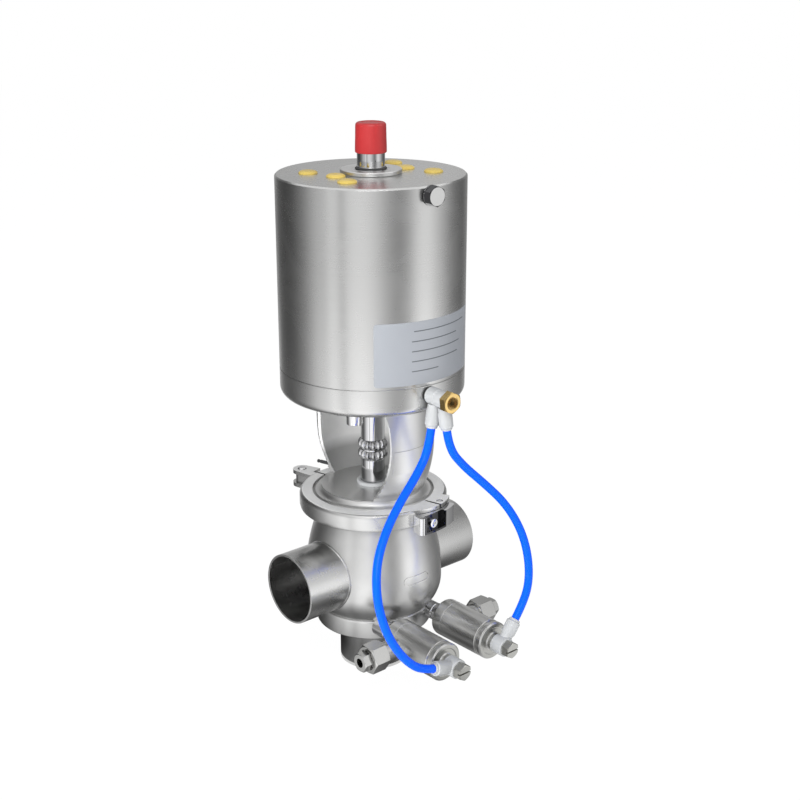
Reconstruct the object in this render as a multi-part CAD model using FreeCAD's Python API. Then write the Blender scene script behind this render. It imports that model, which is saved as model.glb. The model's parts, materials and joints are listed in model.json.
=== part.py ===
import FreeCAD, Part
import math
import os
from FreeCAD import Rotation, Vector

# Mixproof valve for 70 mm hygienic tube, millimetres, +Z up.
# The origin is the centre of the bottom outlet's end face. The through run lies along X,
# and the two small cleaning valves, the air fitting and the vent are on the -Y side.

# Process tube and the places of its three ends
tube_od = 70.0
tube_wall = 2.0
run_clearance = 7.0
run_reach = 107.9

# Valve body, a barrel of two tangent arcs
body_belly_r = 69.3
body_belly_z = 92.7
body_upper_arc = 194.0
body_lower_arc = 36.0
body_wall = 4.0
neck_z = 163.5
neck_ring_r = 57.5

# Seat ring with its leakage groove
band_r = 58.5
band_bottom = 46.0
band_top = 66.5
band_chamfer = 2.5
seat_bore_r = 36.2
seat_lip = 3.0
leak_groove_r = 43.0
leak_groove_height = 6.0
leak_port_r = 3.0

# Flanges held by the clamp
flange_r = 66.0
flange_rim = 3.4
flange_cone_width = 6.4
flange_cone_rise = 2.3
body_flange_top = 175.5
bonnet_rim = 4.0

# Bonnet, stem seal and guide bush
bonnet_boss_depth = 12.0
bonnet_bore_r = 15.1
bonnet_clearance = 0.4
ring_section_r = 1.45
stem_seal_height = 6.0
bush_flange_r = 16.2
bush_flange_height = 3.3

# Clamp
clamp_wall = 8.0
clamp_bottom = 169.3
clamp_top = 187.0
clamp_lip_r = 61.0
clamp_shoulder = 4.0
clamp_lower_chamfer = 2.0
clamp_gap = 2.4
hinge_angle = 104.5
hinge_reach = 16.5
hinge_eye_r = 9.5
hinge_root_r = 11.0
hinge_knuckle_r = 6.5
hinge_pin_r = 3.2
hinge_plate = 3.9
hinge_rivet = 1.6
ledge_r = 45.5
ledge_reach = 6.5
ledge_angle = -70.0
ledge_end = -57.0
latch_pin_angle = -69.7
latch_pin_reach = 1.0
latch_pin_radius = 3.0
latch_depth = 13.6
latch_start = -98.5
latch_end = -63.0
latch_bottom = 165.5
latch_plate = 3.8
latch_gap = 0.3
latch_tongue_r = 6.8
latch_rounding = 5.0
latch_screw_angle = -87.0
latch_screw_r = 3.0
latch_screw_head_r = 5.2
latch_screw_head = 3.6
latch_screw_sink = 4.0

# Lantern
lantern_r = 61.0
lantern_wall = 5.0
lantern_straight_z = 240.0
lantern_foot_r = 51.3
lantern_foot_z = 191.6
lantern_foot_flange_r = 58.0
lantern_foot_flange_z = 186.7
lantern_floor_z = 193.0
lantern_top = 290.0
lantern_deck_r = 50.0
lantern_deck = 10.0
lantern_deck_bore_r = 24.0
window_bend_z = (256.0, 228.0)
window_near_angles = (57.0, 70.0, 69.0, 50.0)
window_far_angles = (61.0, 60.6, 56.8, 73.0)
pad_start = -111.0
pad_end = -74.0
pad_bottom = 222.0
pad_top = 245.0
pad_proud = 0.7
lantern_bolt_r = 42.0
lantern_bolt_angle = -154.5
lantern_bolt_count = 4
lantern_bolt_shank_r = 5.0
lantern_bolt_head_r = 8.0
lantern_bolt_head = 12.0
lantern_bolt_grip = 16.0
side_pin_angle = 106.0
side_pin_z = 201.0
side_pin_r = 1.8
side_pin_length = 18.0

# Actuator
actuator_r = 90.2
actuator_wall = 3.0
actuator_turn = -4.0
base_edge = 9.0
base_seam = 317.8
base_deck_z = 324.0
base_spigot_top = 332.0
base_spigot_wall = 7.0
base_counterbore_r = 22.0
base_counterbore = 6.0
shell_top = 503.2
shell_top_plate = 8.0
shell_edge = 1.5
fit_gap = 0.05
running_gap = 0.05

# Rods and stem
lower_rod_r = 11.8
upper_rod_r = 13.2
coupling_bottom = 217.0
coupling_top = 240.0
coupling_r = 15.2
coupling_core_r = 9.0
coupling_flute_count = 12
coupling_flute_r = 2.6
stem_tail_r = 8.0

# Travel: the plug and everything above it rises by main_lift
main_lift = 24.0
clean_stroke = 6.0

# Piston and main spring
piston_rest_gap = 1.5
piston_rim = 13.5
piston_boss = 8.0
piston_groove = 4.0
piston_clip = 2.4
spring_wire = 9.0
spring_mean_r = 48.0
spring_turn_count = 5

# Top of the actuator
collar_r = 29.2
collar_height = 4.1
collar_spigot_r = 20.9
collar_spigot = 15.0
wiper_r = 15.6
wiper_height = 2.5
cap_show = 18.8
cap_height = 31.6
cap_r = 15.2
cap_rounding = 3.0
cap_socket = 18.0
top_plug_r = 9.0
top_plug_dome = 2.8
top_plug_stem_r = 4.8
top_plug_places = ((40.0, 0.0), (49.5, 31.5), (49.5, -31.5))

# Vent plug
vent_z = 494.7
vent_hex = 17.0
vent_head = 8.0
vent_washer = 1.0
vent_shank_r = 4.5
vent_shank = 12.0
vent_drill = 20.0
vent_drill_drop = 16.0

# Air fitting: one hollow stud through two swivel rings
air_z = 309.0
air_stud_r = 6.4
air_hex = 18.5
air_hex_length = 7.5
air_thread_r = 5.7
air_thread_depth = 15.0
air_stud_depth = 16.0
air_stud_bore_r = 3.0
air_spacer = 1.8
air_ring_r = 8.2
air_ring_length = 12.2
air_leg_r = 6.0
air_leg_length = 27.5
air_leg_tilts = (-8.0, 8.0)
air_drill_r = 4.0
air_riser_r = 56.0
collet_r = 5.6
collet_length = 2.4

# Cleaning valves, each along -Y
clean_x = 31.8
clean_z = 60.0
clean_r = 18.9
clean_neck_r = 9.0
clean_back = 72.3
clean_back_edge = 4.0
clean_seam = 86.3
clean_front = 134.5
clean_groove_r = 17.4
clean_rim_start = 138.0
clean_end = 142.7
clean_chamber_r = 12.0
clean_seat_wall = 2.7
clean_partition_start = 101.0
clean_partition = 7.0
clean_cylinder_r = 15.5
clean_stem_r = 4.0
clean_head_r = 8.0
clean_head = 4.0
clean_piston = 6.0
clean_piston_place = 122.5
clean_cap_spigot = 5.0
clean_spring_wire = 1.6
clean_spring_r = 10.0
clean_spring_turn_count = 3
clean_branch_y = 90.0
clean_branch_r = 10.0
clean_branch_bore_r = 5.0
clean_branch_reach = {"left": 67.0, "right": 57.0}
union_hex = 26.0
union_length = 18.0
union_thread = 12.0
union_engage = 9.0
tail_hex = 17.0
tail_length = 9.0
tail_neck_r = 7.5
tail_bore_r = 4.5
boss_r = 8.5
boss_length = 4.3
elbow_r = 9.4
elbow_length = 14.0
elbow_leg_r = 6.6
elbow_leg_length = 26.0
elbow_angles = {"left": 163.0, "right": 51.0}
banjo_shank_r = 5.0
banjo_hex = 14.5
banjo_head = 8.5
banjo_slot = 1.6

# Blue air tubes: points chosen by hand between the straight runs at the two fittings
air_tube_d = 8.0
air_tube_left_points = (
    (-32.0, -101.0, 238.5),
    (-57.5, -107.5, 221.5),
    (-83.0, -116.0, 202.0),
    (-103.0, -126.0, 179.0),
    (-112.0, -136.5, 152.0),
    (-110.5, -145.0, 125.0),
    (-101.5, -150.5, 102.5),
    (-87.0, -153.3, 83.5),
)
air_tube_right_points = (
    (15.5, -113.7, 239.0),
    (37.0, -120.5, 217.5),
    (56.5, -129.5, 195.0),
    (68.5, -139.0, 169.5),
    (73.0, -146.5, 143.0),
    (70.5, -152.0, 116.0),
)
air_tube_exit_runs = (24.0, 22.0)
air_tube_entry_runs = {"left": 16.0, "right": 20.0}
corner_share = 0.45

# Sizes that follow from the values above
tube_r = tube_od / 2.0
tube_bore_r = tube_r - tube_wall
run_height = band_top + tube_r + run_clearance
body_neck_bore_r = body_belly_r - body_upper_arc + math.sqrt(
    (body_upper_arc - body_wall) ** 2 - (neck_z - body_belly_z) ** 2)
lantern_bottom = body_flange_top + bonnet_rim
clamp_outer_r = flange_r + clamp_wall
hinge_r = clamp_outer_r + hinge_reach
latch_pin_r = clamp_outer_r + latch_pin_reach
latch_outer_r = clamp_outer_r + latch_depth
leak_z = clean_z
shell_bore_r = actuator_r - actuator_wall
coupling_split = (coupling_bottom + coupling_top) / 2.0
piston_bottom = base_spigot_top + piston_rest_gap
piston_top = piston_bottom + piston_rim
piston_boss_bottom = piston_bottom - piston_boss
main_spring_top = shell_top - shell_top_plate
cap_bottom = shell_top + cap_show
cap_top = cap_bottom + cap_height
plug_rest_gap = 0.6
hex_chamfer_angle = 30.0
hex_flat_up = 30.0
up = Vector(0.0, 0.0, 1.0)
centre = Vector(0.0, 0.0, 0.0)
side_sign = {"left": -1.0, "right": 1.0}


# Drawing helpers

def polar(radius, degrees, z=0.0):
    turn = math.radians(degrees)
    return Vector(radius * math.cos(turn), radius * math.sin(turn), z)


def outline(start, *steps):
    """A closed outline in the XZ half plane: (r, z) is a line, (rm, zm, r, z) an arc."""
    edges = []
    here = Vector(start[0], 0.0, start[1])
    for step in steps + (start,):
        there = Vector(step[-2], 0.0, step[-1])
        if here.distanceToPoint(there) < 1e-6:
            continue
        if len(step) == 4:
            middle = Vector(step[0], 0.0, step[1])
            edges.append(Part.Arc(here, middle, there).toShape())
        else:
            edges.append(Part.LineSegment(here, there).toShape())
        here = there
    return Part.Face(Part.Wire(edges))


def turned(start, *steps):
    return outline(start, *steps).revolve(centre, up, 360.0)


def sector(face, first, last):
    """The solid swept by an outline from one bearing to another, in degrees."""
    piece = face.revolve(centre, up, last - first)
    piece.rotate(centre, up, first)
    return piece


def placed(shape, origin, direction):
    """Carries a shape drawn along +Z to an origin and an axis direction."""
    moved = shape.copy()
    place = FreeCAD.Placement(origin, Rotation(up, direction))
    moved.Placement = place.multiply(shape.Placement)
    return moved


def rod(radius, length, origin=centre, direction=up):
    return Part.makeCylinder(radius, length, origin, direction)


def pipe(outer, inner, length, origin=centre, direction=up):
    return rod(outer, length, origin, direction).cut(rod(inner, length, origin, direction))


def hex_bar(across_flats, length, corner_turn=0.0, both_ends=False):
    """A hexagon bar on +Z with its far corners, or all corners, turned off."""
    corner = across_flats / math.sqrt(3.0)
    flat = across_flats / 2.0
    drop = (corner - flat) * math.tan(math.radians(hex_chamfer_angle))
    points = [polar(corner, corner_turn + 60.0 * k) for k in range(7)]
    bar = Part.Face(Part.makePolygon(points)).extrude(Vector(0.0, 0.0, length))
    near = flat if both_ends else corner
    near_z = drop if both_ends else 0.0
    barrel = turned((0.0, 0.0), (near, 0.0), (corner, near_z), (corner, length - drop),
                    (flat, length), (0.0, length))
    return bar.common(barrel)


def o_ring(radius, section_r, z):
    return Part.makeTorus(radius, section_r, Vector(0.0, 0.0, z), up)


def barrel_r(radius, z):
    """Half width of the body's outer or inner surface at a height."""
    arc = body_upper_arc if z > body_belly_z else body_lower_arc
    inset = body_belly_r - radius
    return body_belly_r - arc + math.sqrt((arc - inset) ** 2 - (z - body_belly_z) ** 2)


def coil(wire_d, mean_r, bottom, top, turns):
    """A compression spring that stands between two heights.

    The wire is drawn with eight flats and the round wire's area, and each quarter turn
    is one arc, which keeps a long spring light to mesh.
    """
    side_count = 8
    quarters = 4 * round(turns)
    share = 2.0 * math.pi / side_count
    corner_r = wire_d / 2.0 * math.sqrt(share / math.sin(share))
    rise = (top - bottom - 2.0 * corner_r) / quarters

    def on_helix(step):
        return polar(mean_r, 90.0 * step, bottom + corner_r + rise * step)

    arcs = [Part.Arc(on_helix(k), on_helix(k + 0.5), on_helix(k + 1)) for k in range(quarters)]
    path = Part.Wire([arc.toShape() for arc in arcs])
    along = arcs[0].tangent(arcs[0].FirstParameter)[0]
    across = along.cross(Vector(1.0, 0.0, 0.0)).normalize()
    outward = across.cross(along)
    corners = []
    for k in range(side_count + 1):
        turn = share * k
        corners.append(on_helix(0) + outward * (corner_r * math.cos(turn))
                       + across * (corner_r * math.sin(turn)))
    return path.makePipeShell([Part.makePolygon(corners)], True, False)


# Valve body, tubes and seat ring

def barrel_outline(radius, top):
    """The barrel's envelope at a given belly radius, closed on the axis."""
    lower_mid = (band_top + body_belly_z) / 2.0
    upper_mid = (neck_z + body_belly_z) / 2.0
    return (
        (0.0, band_top),
        (barrel_r(radius, band_top), band_top),
        (barrel_r(radius, lower_mid), lower_mid, radius, body_belly_z),
        (barrel_r(radius, upper_mid), upper_mid, barrel_r(radius, neck_z), neck_z),
    ) + top


def body_envelope():
    cone_top = body_flange_top - flange_rim
    cone_bottom = cone_top - flange_cone_rise
    return turned(*barrel_outline(body_belly_r, (
        (neck_ring_r, neck_z),
        (neck_ring_r, cone_bottom),
        (flange_r - flange_cone_width, cone_bottom),
        (flange_r, cone_top),
        (flange_r, body_flange_top),
        (0.0, body_flange_top),
    )))


def valve_body():
    inside = turned(*barrel_outline(body_belly_r - body_wall, (
        (body_neck_bore_r, body_flange_top),
        (0.0, body_flange_top),
    )))
    through = rod(tube_bore_r, 2.0 * run_reach, Vector(-run_reach, 0.0, run_height),
                  Vector(1.0, 0.0, 0.0))
    return body_envelope().cut(inside).cut(through)


def port_pipe(side):
    """A straight tube end whose inner end is cut to the barrel it is welded to."""
    outward = Vector(side_sign[side], 0.0, 0.0)
    start = outward * (body_belly_r / 2.0) + Vector(0.0, 0.0, run_height)
    length = run_reach - body_belly_r / 2.0
    return pipe(tube_r, tube_bore_r, length, start, outward).cut(body_envelope())


def outlet_pipe():
    return pipe(tube_r, tube_bore_r, band_bottom)


def seat_envelope():
    return turned((0.0, band_bottom), (band_r - 1.0, band_bottom), (band_r, band_bottom + 1.0),
                  (band_r, band_top - band_chamfer), (band_r - band_chamfer, band_top),
                  (0.0, band_top))


def seat_ring():
    ring = seat_envelope()
    ring = ring.cut(rod(tube_bore_r, band_top))
    ring = ring.cut(rod(seat_bore_r, band_top, Vector(0.0, 0.0, band_bottom + seat_lip)))
    groove_base = Vector(0.0, 0.0, leak_z - leak_groove_height / 2.0)
    ring = ring.cut(rod(leak_groove_r, leak_groove_height, groove_base))
    for sign in side_sign.values():
        inner_y = math.sqrt(leak_groove_r ** 2 - clean_x ** 2) - 1.0
        start = Vector(sign * clean_x, -inner_y, leak_z)
        ring = ring.cut(rod(leak_port_r, band_r, start, Vector(0.0, -1.0, 0.0)))
    return ring


# Plug, seals and stem

plug_bottom = band_bottom + seat_lip + plug_rest_gap
plug_r = seat_bore_r - 0.5
plug_ring_z = plug_bottom + 3.2
plug_face_gap = 0.8
plug_face_section_r = 1.7
plug_face_seal_r = seat_bore_r + 3.4
plug_flange_r = 42.5
plug_flange = 5.0
plug_hub_r = 14.5
plug_hub_top = 86.0
plug_nose = 6.0


def valve_plug():
    face = band_top + plug_face_gap
    flange_top = face + plug_flange
    ring_r = seat_bore_r - running_gap - 2.0 * ring_section_r
    nose_r = tube_bore_r - 3.0
    plug = turned(
        (0.0, plug_bottom - plug_nose),
        (nose_r * 0.75, plug_bottom - plug_nose * 0.7, nose_r, plug_bottom),
        (plug_r, plug_bottom),
        (plug_r, plug_ring_z - ring_section_r),
        (ring_r, plug_ring_z - ring_section_r),
        (ring_r, plug_ring_z + ring_section_r),
        (plug_r, plug_ring_z + ring_section_r),
        (plug_r, plug_ring_z + 4.0),
        (plug_r - 4.0, plug_ring_z + 6.5),
        (plug_r - 4.0, face),
        (plug_flange_r, face),
        (plug_flange_r, flange_top),
        (plug_hub_r + 9.0, flange_top + 3.5, plug_hub_r, plug_hub_top - 4.0),
        (plug_hub_r, plug_hub_top),
        (0.0, plug_hub_top),
    )
    seal_z = band_top + running_gap + plug_face_section_r
    groove = pipe(plug_face_seal_r + plug_face_section_r, plug_face_seal_r - plug_face_section_r,
                  2.0 * plug_face_section_r, Vector(0.0, 0.0, seal_z - plug_face_section_r))
    tail = rod(stem_tail_r + fit_gap, plug_hub_top, Vector(0.0, 0.0, plug_bottom + 8.0))
    return plug.cut(groove).cut(tail)


def plug_face_seal():
    seal_z = band_top + running_gap + plug_face_section_r
    return o_ring(plug_face_seal_r, plug_face_section_r, seal_z)


def plug_ring_seal():
    return o_ring(seat_bore_r - running_gap - ring_section_r, ring_section_r, plug_ring_z)


def valve_stem():
    return turned((0.0, plug_bottom + 8.2), (stem_tail_r, plug_bottom + 8.2),
                  (stem_tail_r, plug_hub_top), (lower_rod_r, plug_hub_top),
                  (lower_rod_r, coupling_bottom), (coupling_core_r, coupling_bottom),
                  (coupling_core_r, coupling_split), (0.0, coupling_split))


def stem_coupling():
    """Two rows of rounded lobes on one sleeve, drawn as two barrels cut by flutes."""
    waist = coupling_r - 2.2
    half = (coupling_top - coupling_bottom) / 2.0
    rows = None
    for row in range(2):
        low = coupling_bottom + row * half
        mid = low + half / 2.0
        barrel = turned((coupling_core_r + fit_gap, low), (waist, low),
                        (coupling_r, mid, waist, low + half),
                        (coupling_core_r + fit_gap, low + half))
        rows = barrel if rows is None else rows.fuse(barrel)
    for k in range(coupling_flute_count):
        place = polar(coupling_r + 1.0, 360.0 * k / coupling_flute_count, coupling_bottom)
        rows = rows.cut(rod(coupling_flute_r, 2.0 * half, place))
    return rows


# Bonnet, its seals and the guide bush

def bonnet():
    bottom = body_flange_top - bonnet_boss_depth
    boss_outer = body_neck_bore_r - bonnet_clearance
    ring_r = body_neck_bore_r - running_gap - 2.0 * ring_section_r
    ring_z = body_flange_top - bonnet_boss_depth / 2.0
    seat_top = bottom + 1.0 + stem_seal_height
    return turned(
        (lower_rod_r + 0.6, bottom),
        (boss_outer, bottom),
        (boss_outer, ring_z - ring_section_r),
        (ring_r, ring_z - ring_section_r),
        (ring_r, ring_z + ring_section_r),
        (boss_outer, ring_z + ring_section_r),
        (boss_outer, body_flange_top),
        (flange_r, body_flange_top),
        (flange_r, lantern_bottom),
        (bonnet_bore_r + fit_gap, lantern_bottom),
        (bonnet_bore_r + fit_gap, seat_top),
        (bonnet_bore_r, seat_top),
        (bonnet_bore_r, bottom + 1.0),
        (lower_rod_r + 0.6, bottom + 1.0),
    )


def bonnet_seal():
    ring_z = body_flange_top - bonnet_boss_depth / 2.0
    return o_ring(body_neck_bore_r - running_gap - ring_section_r, ring_section_r, ring_z)


def stem_seal():
    base = body_flange_top - bonnet_boss_depth + 1.0
    return pipe(bonnet_bore_r, lower_rod_r + running_gap, stem_seal_height,
                Vector(0.0, 0.0, base))


def stem_bush():
    base = body_flange_top - bonnet_boss_depth + 1.0 + stem_seal_height
    top = lantern_floor_z + bush_flange_height
    bore = lower_rod_r + running_gap
    return turned((bore, base), (bonnet_bore_r, base), (bonnet_bore_r, lantern_floor_z),
                  (bush_flange_r, lantern_floor_z), (bush_flange_r, top - 1.0),
                  (bush_flange_r - 1.0, top), (bore, top))


# Clamp: two hinged halves, a swinging latch and its screw

def clamp_outline():
    cone_bottom = body_flange_top - flange_rim - flange_cone_rise
    rim_bottom = body_flange_top - flange_rim
    rim_top = lantern_bottom + flange_rim
    cone_top = rim_top + flange_cone_rise
    gap = fit_gap * 2.0
    inner = clamp_lip_r + gap
    foot_inner = neck_ring_r + gap
    return outline(
        (foot_inner, clamp_bottom),
        (clamp_outer_r - clamp_lower_chamfer, clamp_bottom),
        (clamp_outer_r, clamp_bottom + 2.0 * clamp_lower_chamfer),
        (clamp_outer_r, clamp_top - clamp_shoulder),
        (clamp_outer_r - 0.3 * clamp_shoulder, clamp_top - 0.3 * clamp_shoulder,
         clamp_outer_r - clamp_shoulder, clamp_top),
        (inner, clamp_top),
        (inner, cone_top + gap),
        (flange_r - flange_cone_width + gap, cone_top + gap),
        (flange_r + gap, rim_top + gap),
        (flange_r + gap, rim_bottom - gap),
        (flange_r - flange_cone_width + gap, cone_bottom - gap),
        (foot_inner, cone_bottom - gap),
    )


def ear(radius, place, inner_r, width, bottom, height):
    """A flat lug: a round eye joined to the ring by straight sides."""
    eye = rod(radius, height, Vector(place.x, place.y, bottom))
    outward = Vector(place.x, place.y, 0.0).normalize()
    across = Vector(-outward.y, outward.x, 0.0)
    root = outward * inner_r
    far = Vector(place.x, place.y, 0.0)
    corners = [root + across * width, far + across * radius, far - across * radius,
               root - across * width, root + across * width]
    web = Part.Face(Part.makePolygon([c + Vector(0.0, 0.0, bottom) for c in corners]))
    return eye.fuse(web.extrude(Vector(0.0, 0.0, height)))


hinge_place = polar(hinge_r, hinge_angle)
latch_place = polar(latch_pin_r, latch_pin_angle)
closure_angle = hinge_angle - 180.0
half_gap_degrees = math.degrees(clamp_gap / 2.0 / clamp_outer_r)
knuckle_bottom = clamp_bottom + hinge_plate + latch_gap / 2.0
knuckle_height = clamp_top - clamp_bottom - 2.0 * hinge_plate - latch_gap
latch_top = clamp_top - latch_plate - latch_gap
latch_height = latch_top - latch_bottom
bracket_bottom = latch_bottom - latch_gap - latch_plate
ring_body_r = (flange_r + clamp_outer_r) / 2.0 + 1.0


def ring_side(first, last):
    """The room of one clamp half round the flanges, out to where a lug may begin."""
    reach = clamp_outer_r + clamp_gap / 2.0
    return sector(outline((0.0, clamp_bottom), (reach, clamp_bottom), (reach, clamp_top),
                          (0.0, clamp_top)), first, last)


def hinge_lug(radius, root, bottom, height, first, last):
    """A lug round the hinge pin that keeps off the ring of the other half."""
    lug = ear(radius, hinge_place, ring_body_r, root, bottom, height)
    return lug.cut(ring_side(first, last))


def ledge(bottom, first, last):
    """One half's share of the round plate that reaches over or under the latch."""
    centre_r = clamp_outer_r + ledge_reach - ledge_r
    disc = rod(ledge_r, latch_plate, polar(centre_r, ledge_angle, bottom))
    outer = centre_r + ledge_r + 1.0
    ring = sector(outline((ring_body_r, bottom), (outer, bottom), (outer, bottom + latch_plate),
                          (ring_body_r, bottom + latch_plate)), first, last)
    return disc.common(ring)


def on_pin(place, radius, bottom, top):
    return rod(radius, top - bottom, Vector(place.x, place.y, bottom))


def clamp_half_left():
    first = hinge_angle + half_gap_degrees
    last = closure_angle + 360.0 - half_gap_degrees
    half = sector(clamp_outline(), first, last)
    for bottom in (clamp_bottom, clamp_top - hinge_plate):
        half = half.fuse(hinge_lug(hinge_eye_r, hinge_root_r, bottom, hinge_plate,
                                   hinge_angle - 60.0, first))
    half = half.fuse(ledge(clamp_top - latch_plate, last - 60.0, last))
    half = half.cut(on_pin(hinge_place, hinge_pin_r + fit_gap, clamp_bottom, clamp_top))
    screw_start = polar(flange_r, latch_screw_angle, latch_bottom + latch_height / 2.0)
    return half.cut(rod(latch_screw_r, latch_outer_r - flange_r, screw_start,
                        polar(1.0, latch_screw_angle)))


def latch_bracket():
    """The right half's two plates above and below the latch, on one upright."""
    first = closure_angle + half_gap_degrees
    back = clamp_outer_r - 0.1
    upright = outline((ring_body_r, bracket_bottom), (back, bracket_bottom), (back, clamp_top),
                      (ring_body_r, clamp_top))
    plates = [ledge(bottom, first, ledge_end)
              for bottom in (bracket_bottom, clamp_top - latch_plate)]
    return sector(upright, first, ledge_end).fuse(plates)


def clamp_half_right():
    first = closure_angle + half_gap_degrees
    last = hinge_angle - half_gap_degrees
    half = sector(clamp_outline(), first, last)
    knuckle = hinge_lug(hinge_knuckle_r, hinge_knuckle_r, knuckle_bottom, knuckle_height,
                        last, hinge_angle + 60.0)
    half = half.fuse([knuckle, latch_bracket()])
    half = half.cut(on_pin(latch_place, latch_tongue_r + 2.0 * latch_gap,
                           latch_bottom - latch_gap, latch_top + latch_gap))
    half = half.cut(on_pin(latch_place, latch_pin_radius + fit_gap, bracket_bottom, clamp_top))
    return half.cut(on_pin(hinge_place, hinge_pin_r + fit_gap, clamp_bottom, clamp_top))


def clamp_hinge_pin():
    start = Vector(hinge_place.x, hinge_place.y, clamp_bottom - 1.0)
    pin = rod(hinge_pin_r, clamp_top - clamp_bottom + 2.0, start)
    head = rod(hinge_pin_r * 1.5, hinge_rivet, Vector(hinge_place.x, hinge_place.y, clamp_top))
    return pin.fuse(head)


def clamp_latch():
    inner = clamp_outer_r + latch_gap
    face = outline((inner, latch_bottom), (latch_outer_r, latch_bottom),
                   (latch_outer_r, latch_top), (inner, latch_top))
    block = sector(face, latch_start, latch_end)
    outer_edges = [e for e in block.Edges
                   if abs(e.BoundBox.ZLength - latch_height) < 0.01
                   and math.hypot(e.CenterOfMass.x, e.CenterOfMass.y) > latch_outer_r - 1.0]
    block = block.makeFillet(latch_rounding, outer_edges)
    block = block.fuse(on_pin(latch_place, latch_tongue_r, latch_bottom, latch_top))
    block = block.cut(on_pin(latch_place, latch_pin_radius + fit_gap, latch_bottom, latch_top))
    mid = latch_bottom + latch_height / 2.0
    radial = polar(1.0, latch_screw_angle)
    block = block.cut(rod(latch_screw_r + fit_gap, latch_depth + 2.0,
                          polar(clamp_outer_r - 1.0, latch_screw_angle, mid), radial))
    return block.cut(rod(latch_screw_head_r + 0.2, latch_screw_sink + 1.0,
                         polar(latch_outer_r - latch_screw_sink, latch_screw_angle, mid), radial))


def clamp_latch_pin():
    return on_pin(latch_place, latch_pin_radius, bracket_bottom, clamp_top)


def socket_screw(shank_r, shank, head_r, head, socket):
    """A cap screw on +Z: the shank ends at zero and the head stands above it."""
    screw = rod(shank_r, shank, Vector(0.0, 0.0, -shank)).fuse(rod(head_r, head))
    rim = [e for e in screw.Edges if abs(e.CenterOfMass.z - head) < 0.01]
    screw = screw.makeFillet(head_r * 0.12, rim)
    recess = hex_bar(socket, head, 0.0)
    recess.translate(Vector(0.0, 0.0, head * 0.45))
    return screw.cut(recess)


def clamp_screw():
    seat_r = latch_outer_r - latch_screw_sink
    screw = socket_screw(latch_screw_r, seat_r - flange_r - 1.0, latch_screw_head_r,
                         latch_screw_head, 0.75 * latch_screw_head_r)
    mid = latch_bottom + latch_height / 2.0
    return placed(screw, polar(seat_r, latch_screw_angle, mid), polar(1.0, latch_screw_angle))


# Lantern between the bonnet and the actuator

def lantern_curve_r(radius, z):
    """The bowl's half width below its straight part, on an arc through the foot."""
    drop = lantern_straight_z - lantern_foot_z
    inset = lantern_r - lantern_foot_r
    arc = (inset ** 2 + drop ** 2) / (2.0 * inset)
    wall = lantern_r - radius
    return lantern_r - arc + math.sqrt((arc - wall) ** 2 - (z - lantern_straight_z) ** 2)


def window_outline(depth):
    """The window's outline at one distance from the axis, open down to the floor.

    The two side edges are free curves, because the near edge swells in the middle and
    draws in at the floor while the far edge spreads towards the floor.
    """
    levels = (lantern_top + 2.0, window_bend_z[0], window_bend_z[1], lantern_floor_z)

    def edge(angles, side):
        poles = [Vector(-depth, side * depth * math.tan(math.radians(angle)), z)
                 for angle, z in zip(angles, levels)]
        curve = Part.BezierCurve()
        curve.setPoles(poles)
        return curve.toShape(), poles[0], poles[-1]

    near, near_top, near_floor = edge(window_near_angles, -1.0)
    far, far_top, far_floor = edge(window_far_angles, 1.0)
    return Part.Wire([near, Part.LineSegment(near_floor, far_floor).toShape(), far,
                      Part.LineSegment(far_top, near_top).toShape()])


def lantern():
    foot_mid = (lantern_straight_z + lantern_foot_z) / 2.0
    floor_mid = (lantern_straight_z + lantern_floor_z) / 2.0
    inner = lantern_r - lantern_wall
    rim_top = lantern_bottom + flange_rim
    cone_top = rim_top + flange_cone_rise
    bowl = turned(
        (bonnet_bore_r + fit_gap, lantern_bottom),
        (flange_r, lantern_bottom),
        (flange_r, rim_top),
        (flange_r - flange_cone_width, cone_top),
        (lantern_foot_flange_r, lantern_foot_flange_z),
        (lantern_foot_r + 2.0, lantern_foot_flange_z + 1.0, lantern_foot_r, lantern_foot_z),
        (lantern_curve_r(lantern_r, foot_mid), foot_mid, lantern_r, lantern_straight_z),
        (lantern_r, lantern_top),
        (inner, lantern_top),
        (inner, lantern_straight_z),
        (lantern_curve_r(inner, floor_mid), floor_mid,
         lantern_curve_r(inner, lantern_floor_z), lantern_floor_z),
        (bonnet_bore_r + fit_gap, lantern_floor_z),
    )
    window = Part.makeLoft([window_outline(lantern_r / 8.0), window_outline(1.3 * lantern_r)],
                           True, True)
    deck_z = lantern_top - lantern_deck
    deck = pipe(lantern_deck_r, lantern_deck_bore_r, lantern_deck, Vector(0.0, 0.0, deck_z))
    deck_rim = pipe(inner + 1.0, lantern_deck_r - 1.0, lantern_deck, Vector(0.0, 0.0, deck_z))
    frame = bowl.cut(window).fuse([deck, deck_rim.cut(window)])
    pad_face = outline((inner + 1.0, pad_bottom), (lantern_r + pad_proud, pad_bottom),
                       (lantern_r + pad_proud, pad_top), (inner + 1.0, pad_top))
    frame = frame.fuse(sector(pad_face, pad_start, pad_end))
    for k in range(lantern_bolt_count):
        place = polar(lantern_bolt_r, lantern_bolt_angle + 360.0 * k / lantern_bolt_count,
                      deck_z - 1.0)
        frame = frame.cut(rod(lantern_bolt_shank_r + fit_gap, lantern_deck + 2.0, place))
    pin_hole = rod(side_pin_r, 2.0 * lantern_wall, polar(lantern_foot_r - 4.5, side_pin_angle,
                                                         side_pin_z), polar(1.0, side_pin_angle))
    return frame.cut(pin_hole)


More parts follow.
